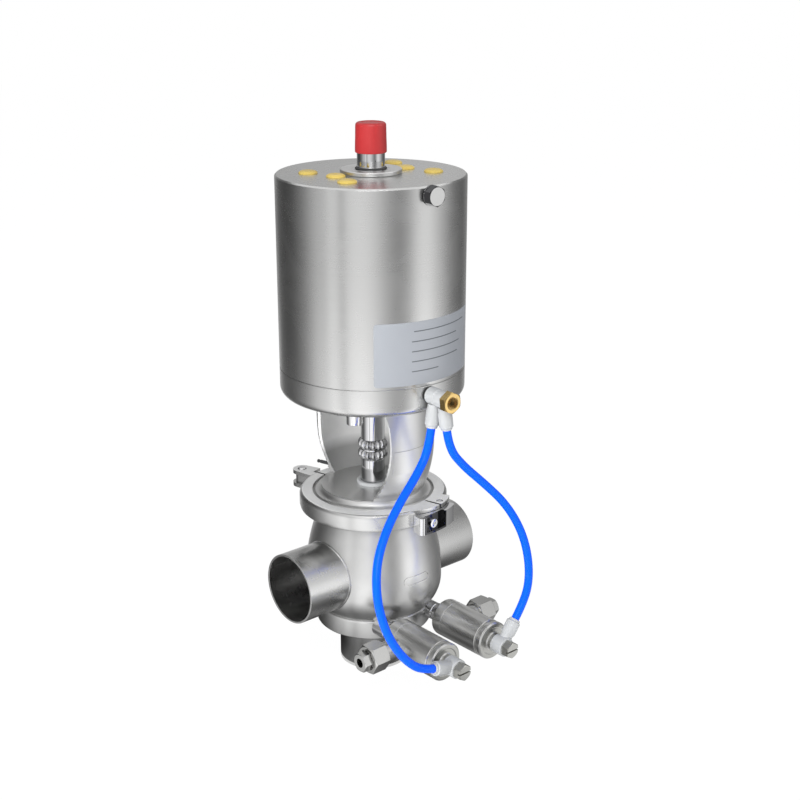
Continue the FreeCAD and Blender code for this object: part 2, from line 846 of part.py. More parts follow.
def lantern_bolts():
    deck_z = lantern_top - lantern_deck
    bolt = socket_screw(lantern_bolt_shank_r, lantern_deck + lantern_bolt_grip,
                        lantern_bolt_head_r, lantern_bolt_head, 8.0)
    bolts = []
    for k in range(lantern_bolt_count):
        place = polar(lantern_bolt_r, lantern_bolt_angle + 360.0 * k / lantern_bolt_count, deck_z)
        bolts.append(placed(bolt, place, Vector(0.0, 0.0, -1.0)))
    return Part.makeCompound(bolts)


def lantern_side_pin():
    start = polar(lantern_foot_r - 1.0, side_pin_angle, side_pin_z)
    pin = rod(side_pin_r, side_pin_length, start, polar(1.0, side_pin_angle))
    far = [e for e in pin.Edges
           if math.hypot(e.CenterOfMass.x, e.CenterOfMass.y) > lantern_foot_r + side_pin_length / 2.0]
    return pin.makeFillet(side_pin_r * 0.4, far[:1])


# Actuator: base, shell, piston, spring and rod

def air_side(radius, z):
    return polar(radius, -90.0 + actuator_turn, z)


def actuator_base():
    edge_mid = base_edge * (1.0 - math.sqrt(0.5))
    counterbore_z = base_deck_z - base_counterbore
    base = turned(
        (lower_rod_r + 6.0, lantern_top),
        (actuator_r - base_edge, lantern_top),
        (actuator_r - edge_mid, lantern_top + edge_mid, actuator_r, lantern_top + base_edge),
        (actuator_r, base_seam),
        (shell_bore_r - fit_gap, base_seam),
        (shell_bore_r - fit_gap, base_spigot_top),
        (shell_bore_r - base_spigot_wall, base_spigot_top),
        (shell_bore_r - base_spigot_wall, base_deck_z),
        (base_counterbore_r, base_deck_z),
        (base_counterbore_r, counterbore_z),
        (lower_rod_r + 6.0, counterbore_z),
    )
    seal_z = (base_seam + base_spigot_top) / 2.0
    groove = pipe(shell_bore_r, shell_bore_r - 2.0 * ring_section_r, 2.0 * ring_section_r,
                  Vector(0.0, 0.0, seal_z - ring_section_r))
    base = base.cut(groove)
    inward = air_side(-1.0, 0.0)
    start = air_side(actuator_r + 1.0, air_z)
    base = base.cut(rod(air_stud_r, air_stud_depth + 2.0, start, inward))
    base = base.cut(rod(air_drill_r, actuator_r + 1.0 - air_riser_r, start, inward))
    base = base.cut(rod(air_drill_r, base_spigot_top - air_z, air_side(air_riser_r, air_z)))
    for k in range(lantern_bolt_count):
        place = polar(lantern_bolt_r, lantern_bolt_angle + 360.0 * k / lantern_bolt_count,
                      lantern_top - 1.0)
        base = base.cut(rod(lantern_bolt_shank_r, lantern_bolt_grip + 2.0, place))
    return base


def base_seal():
    seal_z = (base_seam + base_spigot_top) / 2.0
    return o_ring(shell_bore_r - ring_section_r, ring_section_r, seal_z)


def lower_bush():
    bore = lower_rod_r + running_gap
    outer = lower_rod_r + 6.0
    top = base_deck_z - base_counterbore
    return turned((bore, lantern_top - 2.0), (outer + 3.0, lantern_top - 2.0),
                  (outer + 3.0, lantern_top), (outer, lantern_top), (outer, top), (bore, top))


def actuator_shell():
    plate_z = shell_top - shell_top_plate
    shell = turned((shell_bore_r, base_seam), (actuator_r, base_seam),
                   (actuator_r, shell_top - shell_edge), (actuator_r - shell_edge, shell_top),
                   (collar_spigot_r + fit_gap, shell_top), (collar_spigot_r + fit_gap, plate_z),
                   (shell_bore_r, plate_z))
    pad_r = 14.0
    pad = rod(pad_r, 12.0, air_side(shell_bore_r - pad_r + 2.0, plate_z - 11.0))
    pad = pad.common(rod(shell_bore_r + 0.5, shell_top))
    shell = shell.fuse(pad)
    inward = air_side(-1.0, 0.0)
    start = air_side(actuator_r + 1.0, vent_z)
    shell = shell.cut(rod(vent_shank_r, vent_shank + 2.0, start, inward))
    shell = shell.cut(rod(vent_shank_r * 0.6, vent_drill,
                          air_side(actuator_r - vent_shank, plate_z - vent_drill_drop)))
    for sign in (-1.0, 1.0):
        for x, y in top_plug_places:
            place = polar(math.hypot(x, y), math.degrees(math.atan2(y, sign * x)) + actuator_turn,
                          plate_z + 1.5)
            shell = shell.cut(rod(top_plug_stem_r + fit_gap, shell_top_plate, place))
    return shell


def top_plugs():
    plugs = []
    for sign in (-1.0, 1.0):
        for x, y in top_plug_places:
            place = polar(math.hypot(x, y), math.degrees(math.atan2(y, sign * x)) + actuator_turn,
                          shell_top)
            plug = turned((0.0, -5.0), (top_plug_stem_r, -5.0), (top_plug_stem_r, 0.0),
                          (top_plug_r, 0.0), (top_plug_r, top_plug_dome * 0.4),
                          (top_plug_r * 0.8, top_plug_dome * 0.85, top_plug_r * 0.45,
                           top_plug_dome),
                          (0.0, top_plug_dome))
            plugs.append(placed(plug, place, up))
    return Part.makeCompound(plugs)


def vent_plug():
    head = hex_bar(vent_hex, vent_head, hex_flat_up)
    head.translate(Vector(0.0, 0.0, vent_washer))
    washer = rod(vent_hex * 0.56, vent_washer)
    shank = rod(vent_shank_r, vent_shank, Vector(0.0, 0.0, -vent_shank))
    return placed(shank.fuse([washer, head]), air_side(actuator_r, vent_z), air_side(1.0, 0.0))


def piston():
    bore = lower_rod_r + fit_gap
    outer = shell_bore_r - 0.4
    groove_z = piston_bottom + (piston_rim - piston_groove) / 2.0
    boss_r = shell_bore_r - base_spigot_wall - 3.0
    return turned(
        (bore, piston_boss_bottom),
        (spring_mean_r - 12.0, piston_boss_bottom),
        (boss_r, piston_bottom),
        (outer, piston_bottom),
        (outer, groove_z),
        (outer - 4.0, groove_z),
        (outer - 4.0, groove_z + piston_groove),
        (outer, groove_z + piston_groove),
        (outer, piston_top),
        (spring_mean_r + 8.0, piston_top),
        (spring_mean_r + 8.0, piston_top - 5.0),
        (spring_mean_r - 8.0, piston_top - 5.0),
        (spring_mean_r - 8.0, piston_top),
        (bore, piston_top),
    )


def piston_ring():
    outer = shell_bore_r - running_gap
    groove_z = piston_bottom + (piston_rim - piston_groove) / 2.0
    return pipe(outer, shell_bore_r - 0.4 - 4.0, piston_groove, Vector(0.0, 0.0, groove_z))


def clip_ring():
    base = Vector(0.0, 0.0, piston_boss_bottom - piston_clip)
    return pipe(lower_rod_r + 3.2, lower_rod_r - 1.0, piston_clip, base)


def actuator_rod():
    clip_top = piston_boss_bottom
    clip_base = piston_boss_bottom - piston_clip
    neck = lower_rod_r - 1.0
    top = cap_bottom + cap_socket
    return turned((0.0, coupling_split), (coupling_core_r, coupling_split),
                  (coupling_core_r, coupling_top), (lower_rod_r, coupling_top),
                  (lower_rod_r, clip_base), (neck, clip_base), (neck, clip_top),
                  (lower_rod_r, clip_top), (lower_rod_r, piston_top),
                  (upper_rod_r, piston_top), (upper_rod_r, top), (0.0, top))


def main_spring():
    return coil(spring_wire, spring_mean_r, piston_top - 5.0, main_spring_top,
                spring_turn_count)


def upper_bush():
    bore = upper_rod_r + running_gap
    spigot_bottom = shell_top - collar_spigot
    top = shell_top + collar_height
    return turned((bore, spigot_bottom), (collar_spigot_r, spigot_bottom),
                  (collar_spigot_r, shell_top), (collar_r - 0.8, shell_top),
                  (collar_r, shell_top + 0.8), (collar_r, top - 0.6), (collar_r - 0.6, top),
                  (bore, top))


def rod_wiper():
    bottom = shell_top + collar_height
    bore = upper_rod_r + running_gap
    return turned((bore, bottom), (wiper_r, bottom), (wiper_r, bottom + wiper_height * 0.6),
                  (upper_rod_r + 1.0, bottom + wiper_height), (bore, bottom + wiper_height))


def indicator_cap():
    socket_top = cap_bottom + cap_socket
    socket_r = upper_rod_r + fit_gap
    lift = cap_rounding * (1.0 - math.sqrt(0.5))
    return turned((socket_r, cap_bottom), (cap_r - 0.8, cap_bottom), (cap_r, cap_bottom + 0.8),
                  (cap_r - 0.4, cap_top - cap_rounding),
                  (cap_r - 0.4 - lift, cap_top - lift, cap_r - 0.4 - cap_rounding, cap_top),
                  (0.0, cap_top), (0.0, socket_top), (socket_r, socket_top))


# Air fitting on the base

air_first_ring = actuator_r + air_spacer
air_second_ring = air_first_ring + air_ring_length
air_hex_start = air_second_ring + air_ring_length


def air_stud():
    length = air_hex_start - actuator_r
    shank = rod(air_stud_r, air_stud_depth + length, Vector(0.0, 0.0, -air_stud_depth))
    head = hex_bar(air_hex, air_hex_length, hex_flat_up)
    head.translate(Vector(0.0, 0.0, length))
    stud = shank.fuse(head)
    mouth = Vector(0.0, 0.0, length + air_hex_length - air_thread_depth)
    stud = stud.cut(rod(air_thread_r, air_thread_depth, mouth))
    stud = stud.cut(rod(air_stud_bore_r, air_stud_depth + length,
                        Vector(0.0, 0.0, -air_stud_depth)))
    return placed(stud, air_side(actuator_r, air_z), air_side(1.0, 0.0))


def air_spacer_ring():
    return pipe(air_ring_r - 0.8, air_stud_r + fit_gap, air_spacer, air_side(actuator_r, air_z),
                air_side(1.0, 0.0))


def leg_direction(tilt):
    turn = math.radians(tilt)
    sideways = polar(1.0, actuator_turn)
    return sideways * math.sin(turn) - up * math.cos(turn)


def air_ring(index):
    """A swivel ring with one leg; the tilt turns the leg about the stud."""
    start = air_first_ring + index * air_ring_length
    ring = rod(air_ring_r, air_ring_length, air_side(start, air_z), air_side(1.0, 0.0))
    middle = air_side(start + air_ring_length / 2.0, air_z)
    leg = rod(air_leg_r, air_leg_length, middle, leg_direction(air_leg_tilts[index]))
    bore = rod(air_stud_r + fit_gap, air_ring_length, air_side(start, air_z), air_side(1.0, 0.0))
    return ring.fuse(leg).cut(bore)


def elbow_direction(side):
    turn = math.radians(elbow_angles[side])
    return Vector(math.cos(turn), 0.0, math.sin(turn))


def elbow_centre(side):
    ring_start = clean_end + boss_length
    return Vector(side_sign[side] * clean_x, -(ring_start + elbow_length / 2.0), clean_z)


def ring_exit(index):
    """Where a tube leaves its swivel ring, and in which direction."""
    middle = air_side(air_first_ring + (index + 0.5) * air_ring_length, air_z)
    direction = leg_direction(air_leg_tilts[index])
    return middle + direction * air_leg_length, direction


def elbow_exit(side):
    direction = elbow_direction(side)
    return elbow_centre(side) + direction * elbow_leg_length, direction


def tube_collets():
    """The release sleeves that grip each tube at its two fittings."""
    sleeves = []
    for start, direction in (ring_exit(0), ring_exit(1), elbow_exit("left"),
                             elbow_exit("right")):
        sleeves.append(pipe(collet_r, air_tube_d / 2.0 + fit_gap, collet_length, start,
                            direction))
    return Part.makeCompound(sleeves)


# Cleaning valves

def clean_placed(shape, side):
    """Carries a shape whose axis is +Z, measured outward, to one cleaning valve."""
    return placed(shape, Vector(side_sign[side] * clean_x, 0.0, clean_z), Vector(0.0, -1.0, 0.0))


def clean_necks():
    necks = []
    for side in side_sign:
        start = Vector(side_sign[side] * clean_x, -leak_groove_r + 8.0, clean_z)
        neck = pipe(clean_neck_r, leak_port_r, clean_back - leak_groove_r + 8.0, start,
                    Vector(0.0, -1.0, 0.0))
        necks.append(neck.cut(seat_envelope()).cut(body_envelope()))
    return Part.makeCompound(necks)


def clean_seat_block(side):
    edge_mid = clean_back_edge * (1.0 - math.sqrt(0.5))
    seat = clean_back + clean_seat_wall
    block = turned((leak_port_r, clean_back), (clean_r - clean_back_edge, clean_back),
                   (clean_r - edge_mid, clean_back + edge_mid, clean_r,
                    clean_back + clean_back_edge),
                   (clean_r, clean_seam), (clean_chamber_r, clean_seam),
                   (clean_chamber_r, seat), (leak_port_r, seat))
    return clean_placed(block, side)


def branch_start(side):
    return Vector(side_sign[side] * clean_x, -clean_branch_y, clean_z)


def union_start(side):
    return Vector(side_sign[side] * clean_branch_reach[side], -clean_branch_y, clean_z)


def clean_housing(side):
    wall_end = clean_partition_start + clean_partition
    housing = turned((clean_chamber_r, clean_seam), (clean_r, clean_seam), (clean_r, clean_front),
                     (clean_cylinder_r, clean_front), (clean_cylinder_r, wall_end),
                     (clean_stem_r + running_gap, wall_end),
                     (clean_stem_r + running_gap, clean_partition_start),
                     (clean_chamber_r, clean_partition_start))
    housing = clean_placed(housing, side)
    outward = Vector(side_sign[side], 0.0, 0.0)
    length = clean_branch_reach[side] - clean_x + union_engage
    branch = rod(clean_branch_r, length, branch_start(side), outward)
    core = clean_placed(rod(clean_r - 1.0, clean_end), side)
    back = clean_placed(rod(clean_r + 1.0, clean_seam), side)
    housing = housing.fuse(branch.cut(core).cut(back))
    return housing.cut(rod(clean_branch_bore_r, length, branch_start(side), outward))


def clean_end_cap(side):
    spigot = clean_cylinder_r - fit_gap
    end = clean_end + boss_length
    cap = turned((2.0, clean_front - clean_cap_spigot), (spigot, clean_front - clean_cap_spigot),
                 (spigot, clean_front), (clean_groove_r, clean_front),
                 (clean_groove_r, clean_rim_start), (clean_r, clean_rim_start),
                 (clean_r, clean_end - 1.2), (clean_r - 1.2, clean_end), (boss_r, clean_end),
                 (boss_r, end), (banjo_shank_r, end), (banjo_shank_r, clean_front),
                 (2.0, clean_front))
    return clean_placed(cap, side)


def clean_plunger(side):
    head = clean_back + clean_seat_wall + clean_stroke + running_gap
    piston_end = clean_piston_place + clean_piston
    outer = clean_cylinder_r - running_gap
    plunger = turned((0.0, head), (clean_head_r - 1.5, head), (clean_head_r, head + 1.5),
                     (clean_head_r, head + clean_head), (clean_stem_r, head + clean_head + 2.0),
                     (clean_stem_r, clean_piston_place), (outer, clean_piston_place),
                     (outer, piston_end), (0.0, piston_end))
    return clean_placed(plunger, side)


def clean_spring(side):
    bottom = clean_partition_start + clean_partition
    spring = coil(clean_spring_wire, clean_spring_r, bottom, clean_piston_place,
                  clean_spring_turn_count)
    return clean_placed(spring, side)


def clean_elbow(side):
    start = clean_end + boss_length
    ring = clean_placed(rod(elbow_r, elbow_length, Vector(0.0, 0.0, start)), side)
    leg = rod(elbow_leg_r, elbow_leg_length, elbow_centre(side), elbow_direction(side))
    bore = clean_placed(rod(banjo_shank_r + fit_gap, elbow_length, Vector(0.0, 0.0, start)), side)
    return ring.fuse(leg).cut(bore)


def banjo_screws():
    screws = []
    for side in side_sign:
        head_start = clean_end + boss_length + elbow_length
        head = hex_bar(banjo_hex, banjo_head, hex_flat_up)
        slot = Part.makeBox(2.0 * banjo_hex, banjo_slot, banjo_head,
                            Vector(-banjo_hex, -banjo_slot / 2.0, banjo_head * 0.65))
        head = head.cut(slot)
        head.translate(Vector(0.0, 0.0, head_start))
        shank_start = clean_front + 2.0
        shank = rod(banjo_shank_r, head_start - shank_start, Vector(0.0, 0.0, shank_start))
        screws.append(clean_placed(shank.fuse(head), side))
    return Part.makeCompound(screws)


def union_nuts():
    nuts = []
    for side in side_sign:
        nut = hex_bar(union_hex, union_length, hex_flat_up, True)
        nut = nut.cut(rod(clean_branch_r + fit_gap, union_thread))
        nut = nut.cut(rod(tail_neck_r + fit_gap, union_length))
        nuts.append(placed(nut, union_start(side), Vector(side_sign[side], 0.0, 0.0)))
    return Part.makeCompound(nuts)


def union_tails():
    tails = []
    for side in side_sign:
        shoulder = rod(clean_branch_r - 0.2, union_thread - union_engage,
                       Vector(0.0, 0.0, union_engage))
        neck = rod(tail_neck_r, union_length - union_engage, Vector(0.0, 0.0, union_engage))
        end = hex_bar(tail_hex, tail_length, hex_flat_up)
        end.translate(Vector(0.0, 0.0, union_length))
        tail = shoulder.fuse([neck, end])
        tail = tail.cut(rod(tail_bore_r, union_length + tail_length))
        tails.append(placed(tail, union_start(side), Vector(side_sign[side], 0.0, 0.0)))
    return Part.makeCompound(tails)


# Blue tubes: straight runs joined by tangent arcs

def air_tube(index, side, points):
    start, leaving = ring_exit(index)
    end, arriving = elbow_exit(side)
    route = [start, start + leaving * air_tube_exit_runs[index]]
    route += [Vector(*point) for point in points]
    route += [end + arriving * air_tube_entry_runs[side], end]
    lengths = [route[k + 1].distanceToPoint(route[k]) for k in range(len(route) - 1)]
    edges = []
    radii = []
    here = route[0]
    for k in range(1, len(route) - 1):
        back = (route[k - 1] - route[k]).normalize()
        ahead = (route[k + 1] - route[k]).normalize()
        cut = corner_share * min(lengths[k - 1], lengths[k])
        turn = math.pi - back.getAngle(ahead)
        radii.append(cut / math.tan(turn / 2.0))
        arc_start = route[k] + back * cut
        arc_end = route[k] + ahead * cut
        bisector = (back + ahead).normalize()
        to_centre = math.hypot(radii[-1], cut)
        arc_middle = route[k] + bisector * (to_centre - radii[-1])
        edges.append(Part.LineSegment(here, arc_start).toShape())
        edges.append(Part.Arc(arc_start, arc_middle, arc_end).toShape())
        here = arc_end
    edges.append(Part.LineSegment(here, route[-1]).toShape())
    path = Part.Wire(edges)
    section = Part.Wire(Part.makeCircle(air_tube_d / 2.0, route[0], route[1] - route[0]))
    solid = path.makePipeShell([section], True, False)
    ideal = math.pi * (air_tube_d / 2.0) ** 2 * path.Length
    print(side, "tube length", round(path.Length, 1), "volume share",
          round(solid.Volume / ideal, 4), "radii", [round(radius) for radius in radii],
          "runs", [round(length) for length in lengths])
    for point in route:
        print("   ", round(point.x, 2), round(point.y, 2), round(point.z, 2))
    return solid


# Build and write every piece

nodes = {
    "valve_body": valve_body(),
    "port_pipe_left": port_pipe("left"),
    "port_pipe_right": port_pipe("right"),
    "outlet_pipe": outlet_pipe(),
    "seat_ring": seat_ring(),
    "valve_plug": valve_plug(),
    "plug_face_seal": plug_face_seal(),
    "plug_ring_seal": plug_ring_seal(),
    "valve_stem": valve_stem(),
    "stem_coupling": stem_coupling(),
    "bonnet": bonnet(),
    "bonnet_seal": bonnet_seal(),
    "stem_seal": stem_seal(),
    "stem_bush": stem_bush(),
    "clamp_half_left": clamp_half_left(),
    "clamp_half_right": clamp_half_right(),
    "clamp_hinge_pin": clamp_hinge_pin(),
    "clamp_latch": clamp_latch(),
    "clamp_latch_pin": clamp_latch_pin(),
    "clamp_screw": clamp_screw(),
    "lantern": lantern(),
    "lantern_bolts": lantern_bolts(),
    "lantern_side_pin": lantern_side_pin(),
    "actuator_base": actuator_base(),
    "base_seal": base_seal(),
    "lower_bush": lower_bush(),
    "actuator_shell": actuator_shell(),
    "top_plugs": top_plugs(),
    "vent_plug": vent_plug(),
    "piston": piston(),
    "piston_ring": piston_ring(),
    "piston_clip": clip_ring(),
    "actuator_rod": actuator_rod(),
    "main_spring": main_spring(),
    "upper_bush": upper_bush(),
    "rod_wiper": rod_wiper(),
    "indicator_cap": indicator_cap(),
    "air_stud": air_stud(),
    "air_spacer": air_spacer_ring(),
    "air_ring_left": air_ring(0),
    "air_ring_right": air_ring(1),
    "tube_collets": tube_collets(),
    "clean_necks": clean_necks(),
    "banjo_screws": banjo_screws(),
    "union_nuts": union_nuts(),
    "union_tails": union_tails(),
    "air_tube_left": air_tube(0, "left", air_tube_left_points),
    "air_tube_right": air_tube(1, "right", air_tube_right_points),
}
for valve_side in side_sign:
    nodes["clean_seat_block_" + valve_side] = clean_seat_block(valve_side)
    nodes["clean_housing_" + valve_side] = clean_housing(valve_side)
    nodes["clean_end_cap_" + valve_side] = clean_end_cap(valve_side)
    nodes["clean_plunger_" + valve_side] = clean_plunger(valve_side)
    nodes["clean_spring_" + valve_side] = clean_spring(valve_side)
    nodes["clean_elbow_" + valve_side] = clean_elbow(valve_side)

os.makedirs("parts", exist_ok=True)
for name, shape in nodes.items():
    shape.exportStep(os.path.join("parts", name + ".step"))
    print(name, len(shape.Solids), "solids, valid", shape.isValid(), "volume",
          round(shape.Volume / 1000.0, 2), "cm3")
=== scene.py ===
# %% [markdown]
# # A pneumatic mixproof valve, dressed around its CAD frame
#
# The imported CAD model gives every size and place. This notebook keeps those places and makes
# what a solid can't show: turned steel with its fine tool lines, chrome that carries hard
# reflections, moulded fittings, coiled springs, and the two blue air tubes.
# Lengths are written in millimetres and multiplied by MM, because Blender works in metres.

# %% Load the CAD frame
import json
import math

import bmesh
import bpy
from mathutils import Matrix, Vector


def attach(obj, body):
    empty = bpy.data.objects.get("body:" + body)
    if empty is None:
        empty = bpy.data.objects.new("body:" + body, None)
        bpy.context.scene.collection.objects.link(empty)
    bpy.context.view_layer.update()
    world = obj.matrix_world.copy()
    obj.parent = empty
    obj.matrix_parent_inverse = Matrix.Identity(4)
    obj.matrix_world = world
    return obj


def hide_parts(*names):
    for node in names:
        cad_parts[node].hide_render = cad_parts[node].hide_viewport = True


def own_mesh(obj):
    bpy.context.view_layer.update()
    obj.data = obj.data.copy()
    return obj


MM = 0.001
origin = (0.0, 0.0, 0.0)
up = Vector((0.0, 0.0, 1.0))
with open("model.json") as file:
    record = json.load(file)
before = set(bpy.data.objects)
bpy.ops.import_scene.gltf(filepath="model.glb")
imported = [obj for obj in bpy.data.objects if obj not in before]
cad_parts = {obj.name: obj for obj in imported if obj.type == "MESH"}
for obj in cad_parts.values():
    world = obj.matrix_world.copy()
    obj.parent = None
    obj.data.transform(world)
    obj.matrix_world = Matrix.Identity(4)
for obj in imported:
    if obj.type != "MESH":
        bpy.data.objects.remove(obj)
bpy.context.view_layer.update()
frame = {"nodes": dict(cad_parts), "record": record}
nodes = frame["nodes"]

# %% [markdown]
# ## The camera
#
# The photograph was taken with a long lens from a little above. Its position is given the way
# a photographer would say it: the bearing, the height angle, the distance and the point aimed
# at. A tracking quaternion turns the camera so that its back points along that line.

# %% Place the camera
camera_bearing = math.radians(-41.34)
camera_height = math.radians(18.65)
camera_distance = 1350.9 * MM
aim_height = 279.2 * MM
aim_shift = 27.03 * MM
focal_length = 61.716

back = Vector((math.sin(camera_bearing) * math.cos(camera_height),
               -math.cos(camera_bearing) * math.cos(camera_height),
               math.sin(camera_height)))
sideways = Vector((math.cos(camera_bearing), math.sin(camera_bearing), 0.0))
camera = bpy.data.objects.new("camera", bpy.data.cameras.new("camera"))
bpy.context.scene.collection.objects.link(camera)
camera.data.lens = focal_length
camera.data.sensor_width = 36.0
camera.rotation_mode = "QUATERNION"
camera.location = Vector((0.0, 0.0, aim_height)) + sideways * aim_shift + back * camera_distance
camera.rotation_quaternion = back.to_track_quat("Z", "Y")
bpy.context.scene.camera = camera
print("camera at", [round(part, 3) for part in camera.location])

# %% [markdown]
# ## The blue air tubes
#
# Each tube is 8 mm polyurethane hose, stiff enough to keep its own bow between two push-in
# fittings. A tube could be swept as a mesh, but a NURBS curve with a round bevel is the better
# choice: its control points can be read and moved, and the line stays smooth between them.
# The order and the end point setting come after the points, or only straight runs come out.
# The round bevel is one metre deep and each point's radius brings it down to 4 mm.

# %% Draw the two tubes
tube_diameter = 8.0 * MM
left_route = ((-10.66, -97.59, 281.77), (-13.99, -97.36, 258.0), (-32.0, -101.0, 238.5),
              (-57.5, -107.5, 221.5), (-83.0, -116.0, 202.0), (-103.0, -126.0, 179.0),
              (-112.0, -136.5, 152.0), (-110.5, -145.0, 125.0), (-101.5, -150.5, 102.5),
              (-87.0, -153.3, 83.5), (-71.96, -154.0, 72.28), (-56.66, -154.0, 67.6))
right_route = ((-3.88, -110.3, 281.77), (-0.82, -110.51, 259.98), (15.5, -113.7, 239.0),
               (37.0, -120.5, 217.5), (56.5, -129.5, 195.0), (68.5, -139.0, 169.5),
               (73.0, -146.5, 143.0), (70.5, -152.0, 116.0), (60.75, -154.0, 95.75),
               (48.16, -154.0, 80.21))


def air_tube(name, route, node):
    curve = bpy.data.curves.new(name, "CURVE")
    curve.dimensions = "3D"
    line = curve.splines.new("NURBS")
    line.points.add(len(route) - 1)
    for point, place in zip(line.points, route):
        point.co = (*[part * MM for part in place], 1.0)
        point.radius = tube_diameter / 2.0
    line.order_u = 3
    line.use_endpoint_u = True
    line.resolution_u = 12
    curve.bevel_depth = 1.0
    curve.bevel_resolution = 7
    curve.use_fill_caps = True
    tube = bpy.data.objects.new(name, curve)
    bpy.context.scene.collection.objects.link(tube)
    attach(tube, "housing")
    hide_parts(node)
    return tube


left_tube = air_tube("left_air_tube", left_route, "air_tube_left")
right_tube = air_tube("right_air_tube", right_route, "air_tube_right")
print("tubes:", left_tube.name, right_tube.name)

# %% [markdown]
# ## Finishes
#
# Every finish is procedural, so it holds at any distance. Three effects return in many of
# them, and each is built once as a node group: lines left by turning, the grain of blasted or
# cast steel, and the faint smears that handling leaves. A group only gives out values. The
# Principled shader stays in each material, where the export can read it.

# %% A small helper for shader trees
def link_chain(tree, *steps):
    """Joins sockets in pairs: (from, to), (from, to)."""
    for source, target in steps:
        tree.links.new(source, target)


def new_group(name, inputs, outputs):
    group = bpy.data.node_groups.new(name, "ShaderNodeTree")
    for label, kind, value in inputs:
        socket = group.interface.new_socket(label, in_out="INPUT", socket_type=kind)
        if value is not None:
            socket.default_value = value
    for label, kind in outputs:
        group.interface.new_socket(label, in_out="OUTPUT", socket_type=kind)
    return group, group.nodes.new("NodeGroupInput"), group.nodes.new("NodeGroupOutput")


def math_node(tree, operation, first, second=None, third=None):
    node = tree.nodes.new("ShaderNodeMath")
    node.operation = operation
    for index, value in enumerate((first, second, third)):
        if isinstance(value, bpy.types.NodeSocket):
            tree.links.new(value, node.inputs[index])
        elif value is not None:
            node.inputs[index].default_value = value
    return node.outputs[0]


print("shader helpers ready")

# %% [markdown]
# ### Turning lines
#
# A lathe tool leaves rings round the axis. The group squeezes a noise along the height and
# the radius together, so the rings run round a cylinder as well as across its end face, and a
# slow change round the piece lets each line fade in and out.

# %% Build the turning lines group
turning, turning_in, turning_out = new_group(
    "turning_lines",
    [("Vector", "NodeSocketVector", None), ("Fineness", "NodeSocketFloat", 2600.0),
     ("Fade", "NodeSocketFloat", 14.0)],
    [("Lines", "NodeSocketFloat"), ("Bands", "NodeSocketFloat")])
split = turning.nodes.new("ShaderNodeSeparateXYZ")
link_chain(turning, (turning_in.outputs["Vector"], split.inputs[0]))
squared = math_node(turning, "MULTIPLY", split.outputs["X"], split.outputs["X"])
radius = math_node(turning, "SQRT", math_node(turning, "MULTIPLY_ADD", split.outputs["Y"],
                                              split.outputs["Y"], squared))
along = math_node(turning, "MULTIPLY_ADD", radius, 0.77, split.outputs["Z"])
for label, share, detail in (("Lines", 1.0, 3.0), ("Bands", 0.06, 1.0)):
    gather = turning.nodes.new("ShaderNodeCombineXYZ")
    noise = turning.nodes.new("ShaderNodeTexNoise")
    noise.inputs["Scale"].default_value = 1.0
    noise.inputs["Detail"].default_value = detail
    link_chain(
        turning,
        (math_node(turning, "MULTIPLY", split.outputs["X"], turning_in.outputs["Fade"]),
         gather.inputs["X"]),
        (math_node(turning, "MULTIPLY", split.outputs["Y"], turning_in.outputs["Fade"]),
         gather.inputs["Y"]),
        (math_node(turning, "MULTIPLY", along,
                   math_node(turning, "MULTIPLY", turning_in.outputs["Fineness"], share)),
         gather.inputs["Z"]),
        (gather.outputs[0], noise.inputs["Vector"]),
        (noise.outputs["Fac"], turning_out.inputs[label]))
print("group:", turning.name)

# %% [markdown]
# ### Blasted grain and handling smears
#
# Castings are blasted with fine beads, which leaves a soft sparkle of tiny dents. Handling
# leaves broad, faint patches. Both are plain noises at very different sizes.

# %% Build the grain and handling groups
grain, grain_in, grain_out = new_group(
    "blasted_grain",
    [("Vector", "NodeSocketVector", None), ("Size", "NodeSocketFloat", 1800.0)],
    [("Dents", "NodeSocketFloat"), ("Cloud", "NodeSocketFloat")])
for label, share in (("Dents", 1.0), ("Cloud", 0.02)):
    noise = grain.nodes.new("ShaderNodeTexNoise")
    noise.inputs["Detail"].default_value = 4.0
    link_chain(grain, (grain_in.outputs["Vector"], noise.inputs["Vector"]),
               (math_node(grain, "MULTIPLY", grain_in.outputs["Size"], share),
                noise.inputs["Scale"]),
               (noise.outputs["Fac"], grain_out.inputs[label]))

smears, smears_in, smears_out = new_group(
    "handling_smears",
    [("Vector", "NodeSocketVector", None), ("Size", "NodeSocketFloat", 22.0)],
    [("Smear", "NodeSocketFloat")])
noise = smears.nodes.new("ShaderNodeTexNoise")
noise.inputs["Detail"].default_value = 5.0
noise.inputs["Distortion"].default_value = 0.8
spread = smears.nodes.new("ShaderNodeMapRange")
spread.inputs["From Min"].default_value = 0.35
spread.inputs["From Max"].default_value = 0.7
link_chain(smears, (smears_in.outputs["Vector"], noise.inputs["Vector"]),
           (smears_in.outputs["Size"], noise.inputs["Scale"]),
           (noise.outputs["Fac"], spread.inputs["Value"]),
           (spread.outputs["Result"], smears_out.inputs["Smear"]))
print("groups:", grain.name, smears.name)

# %% [markdown]
# ### Parts that every finish uses
#
# A Mapping node of the TEXTURE kind moves a pattern onto the piece's own axis, so a pipe along
# X and a valve along Y each get rings of their own. The other helpers mix two colours, map a
# value to a range, place a node group, turn a value into fine relief, and let colour and
# roughness wander.

# %% Helpers for finishes
def mix_colours(tree, factor, first, second):
    mix = tree.nodes.new("ShaderNodeMix")
    mix.data_type = "RGBA"
    mix.inputs["A"].default_value = (*first, 1.0)
    mix.inputs["B"].default_value = (*second, 1.0)
    tree.links.new(factor, mix.inputs["Factor"])
    return mix.outputs["Result"]


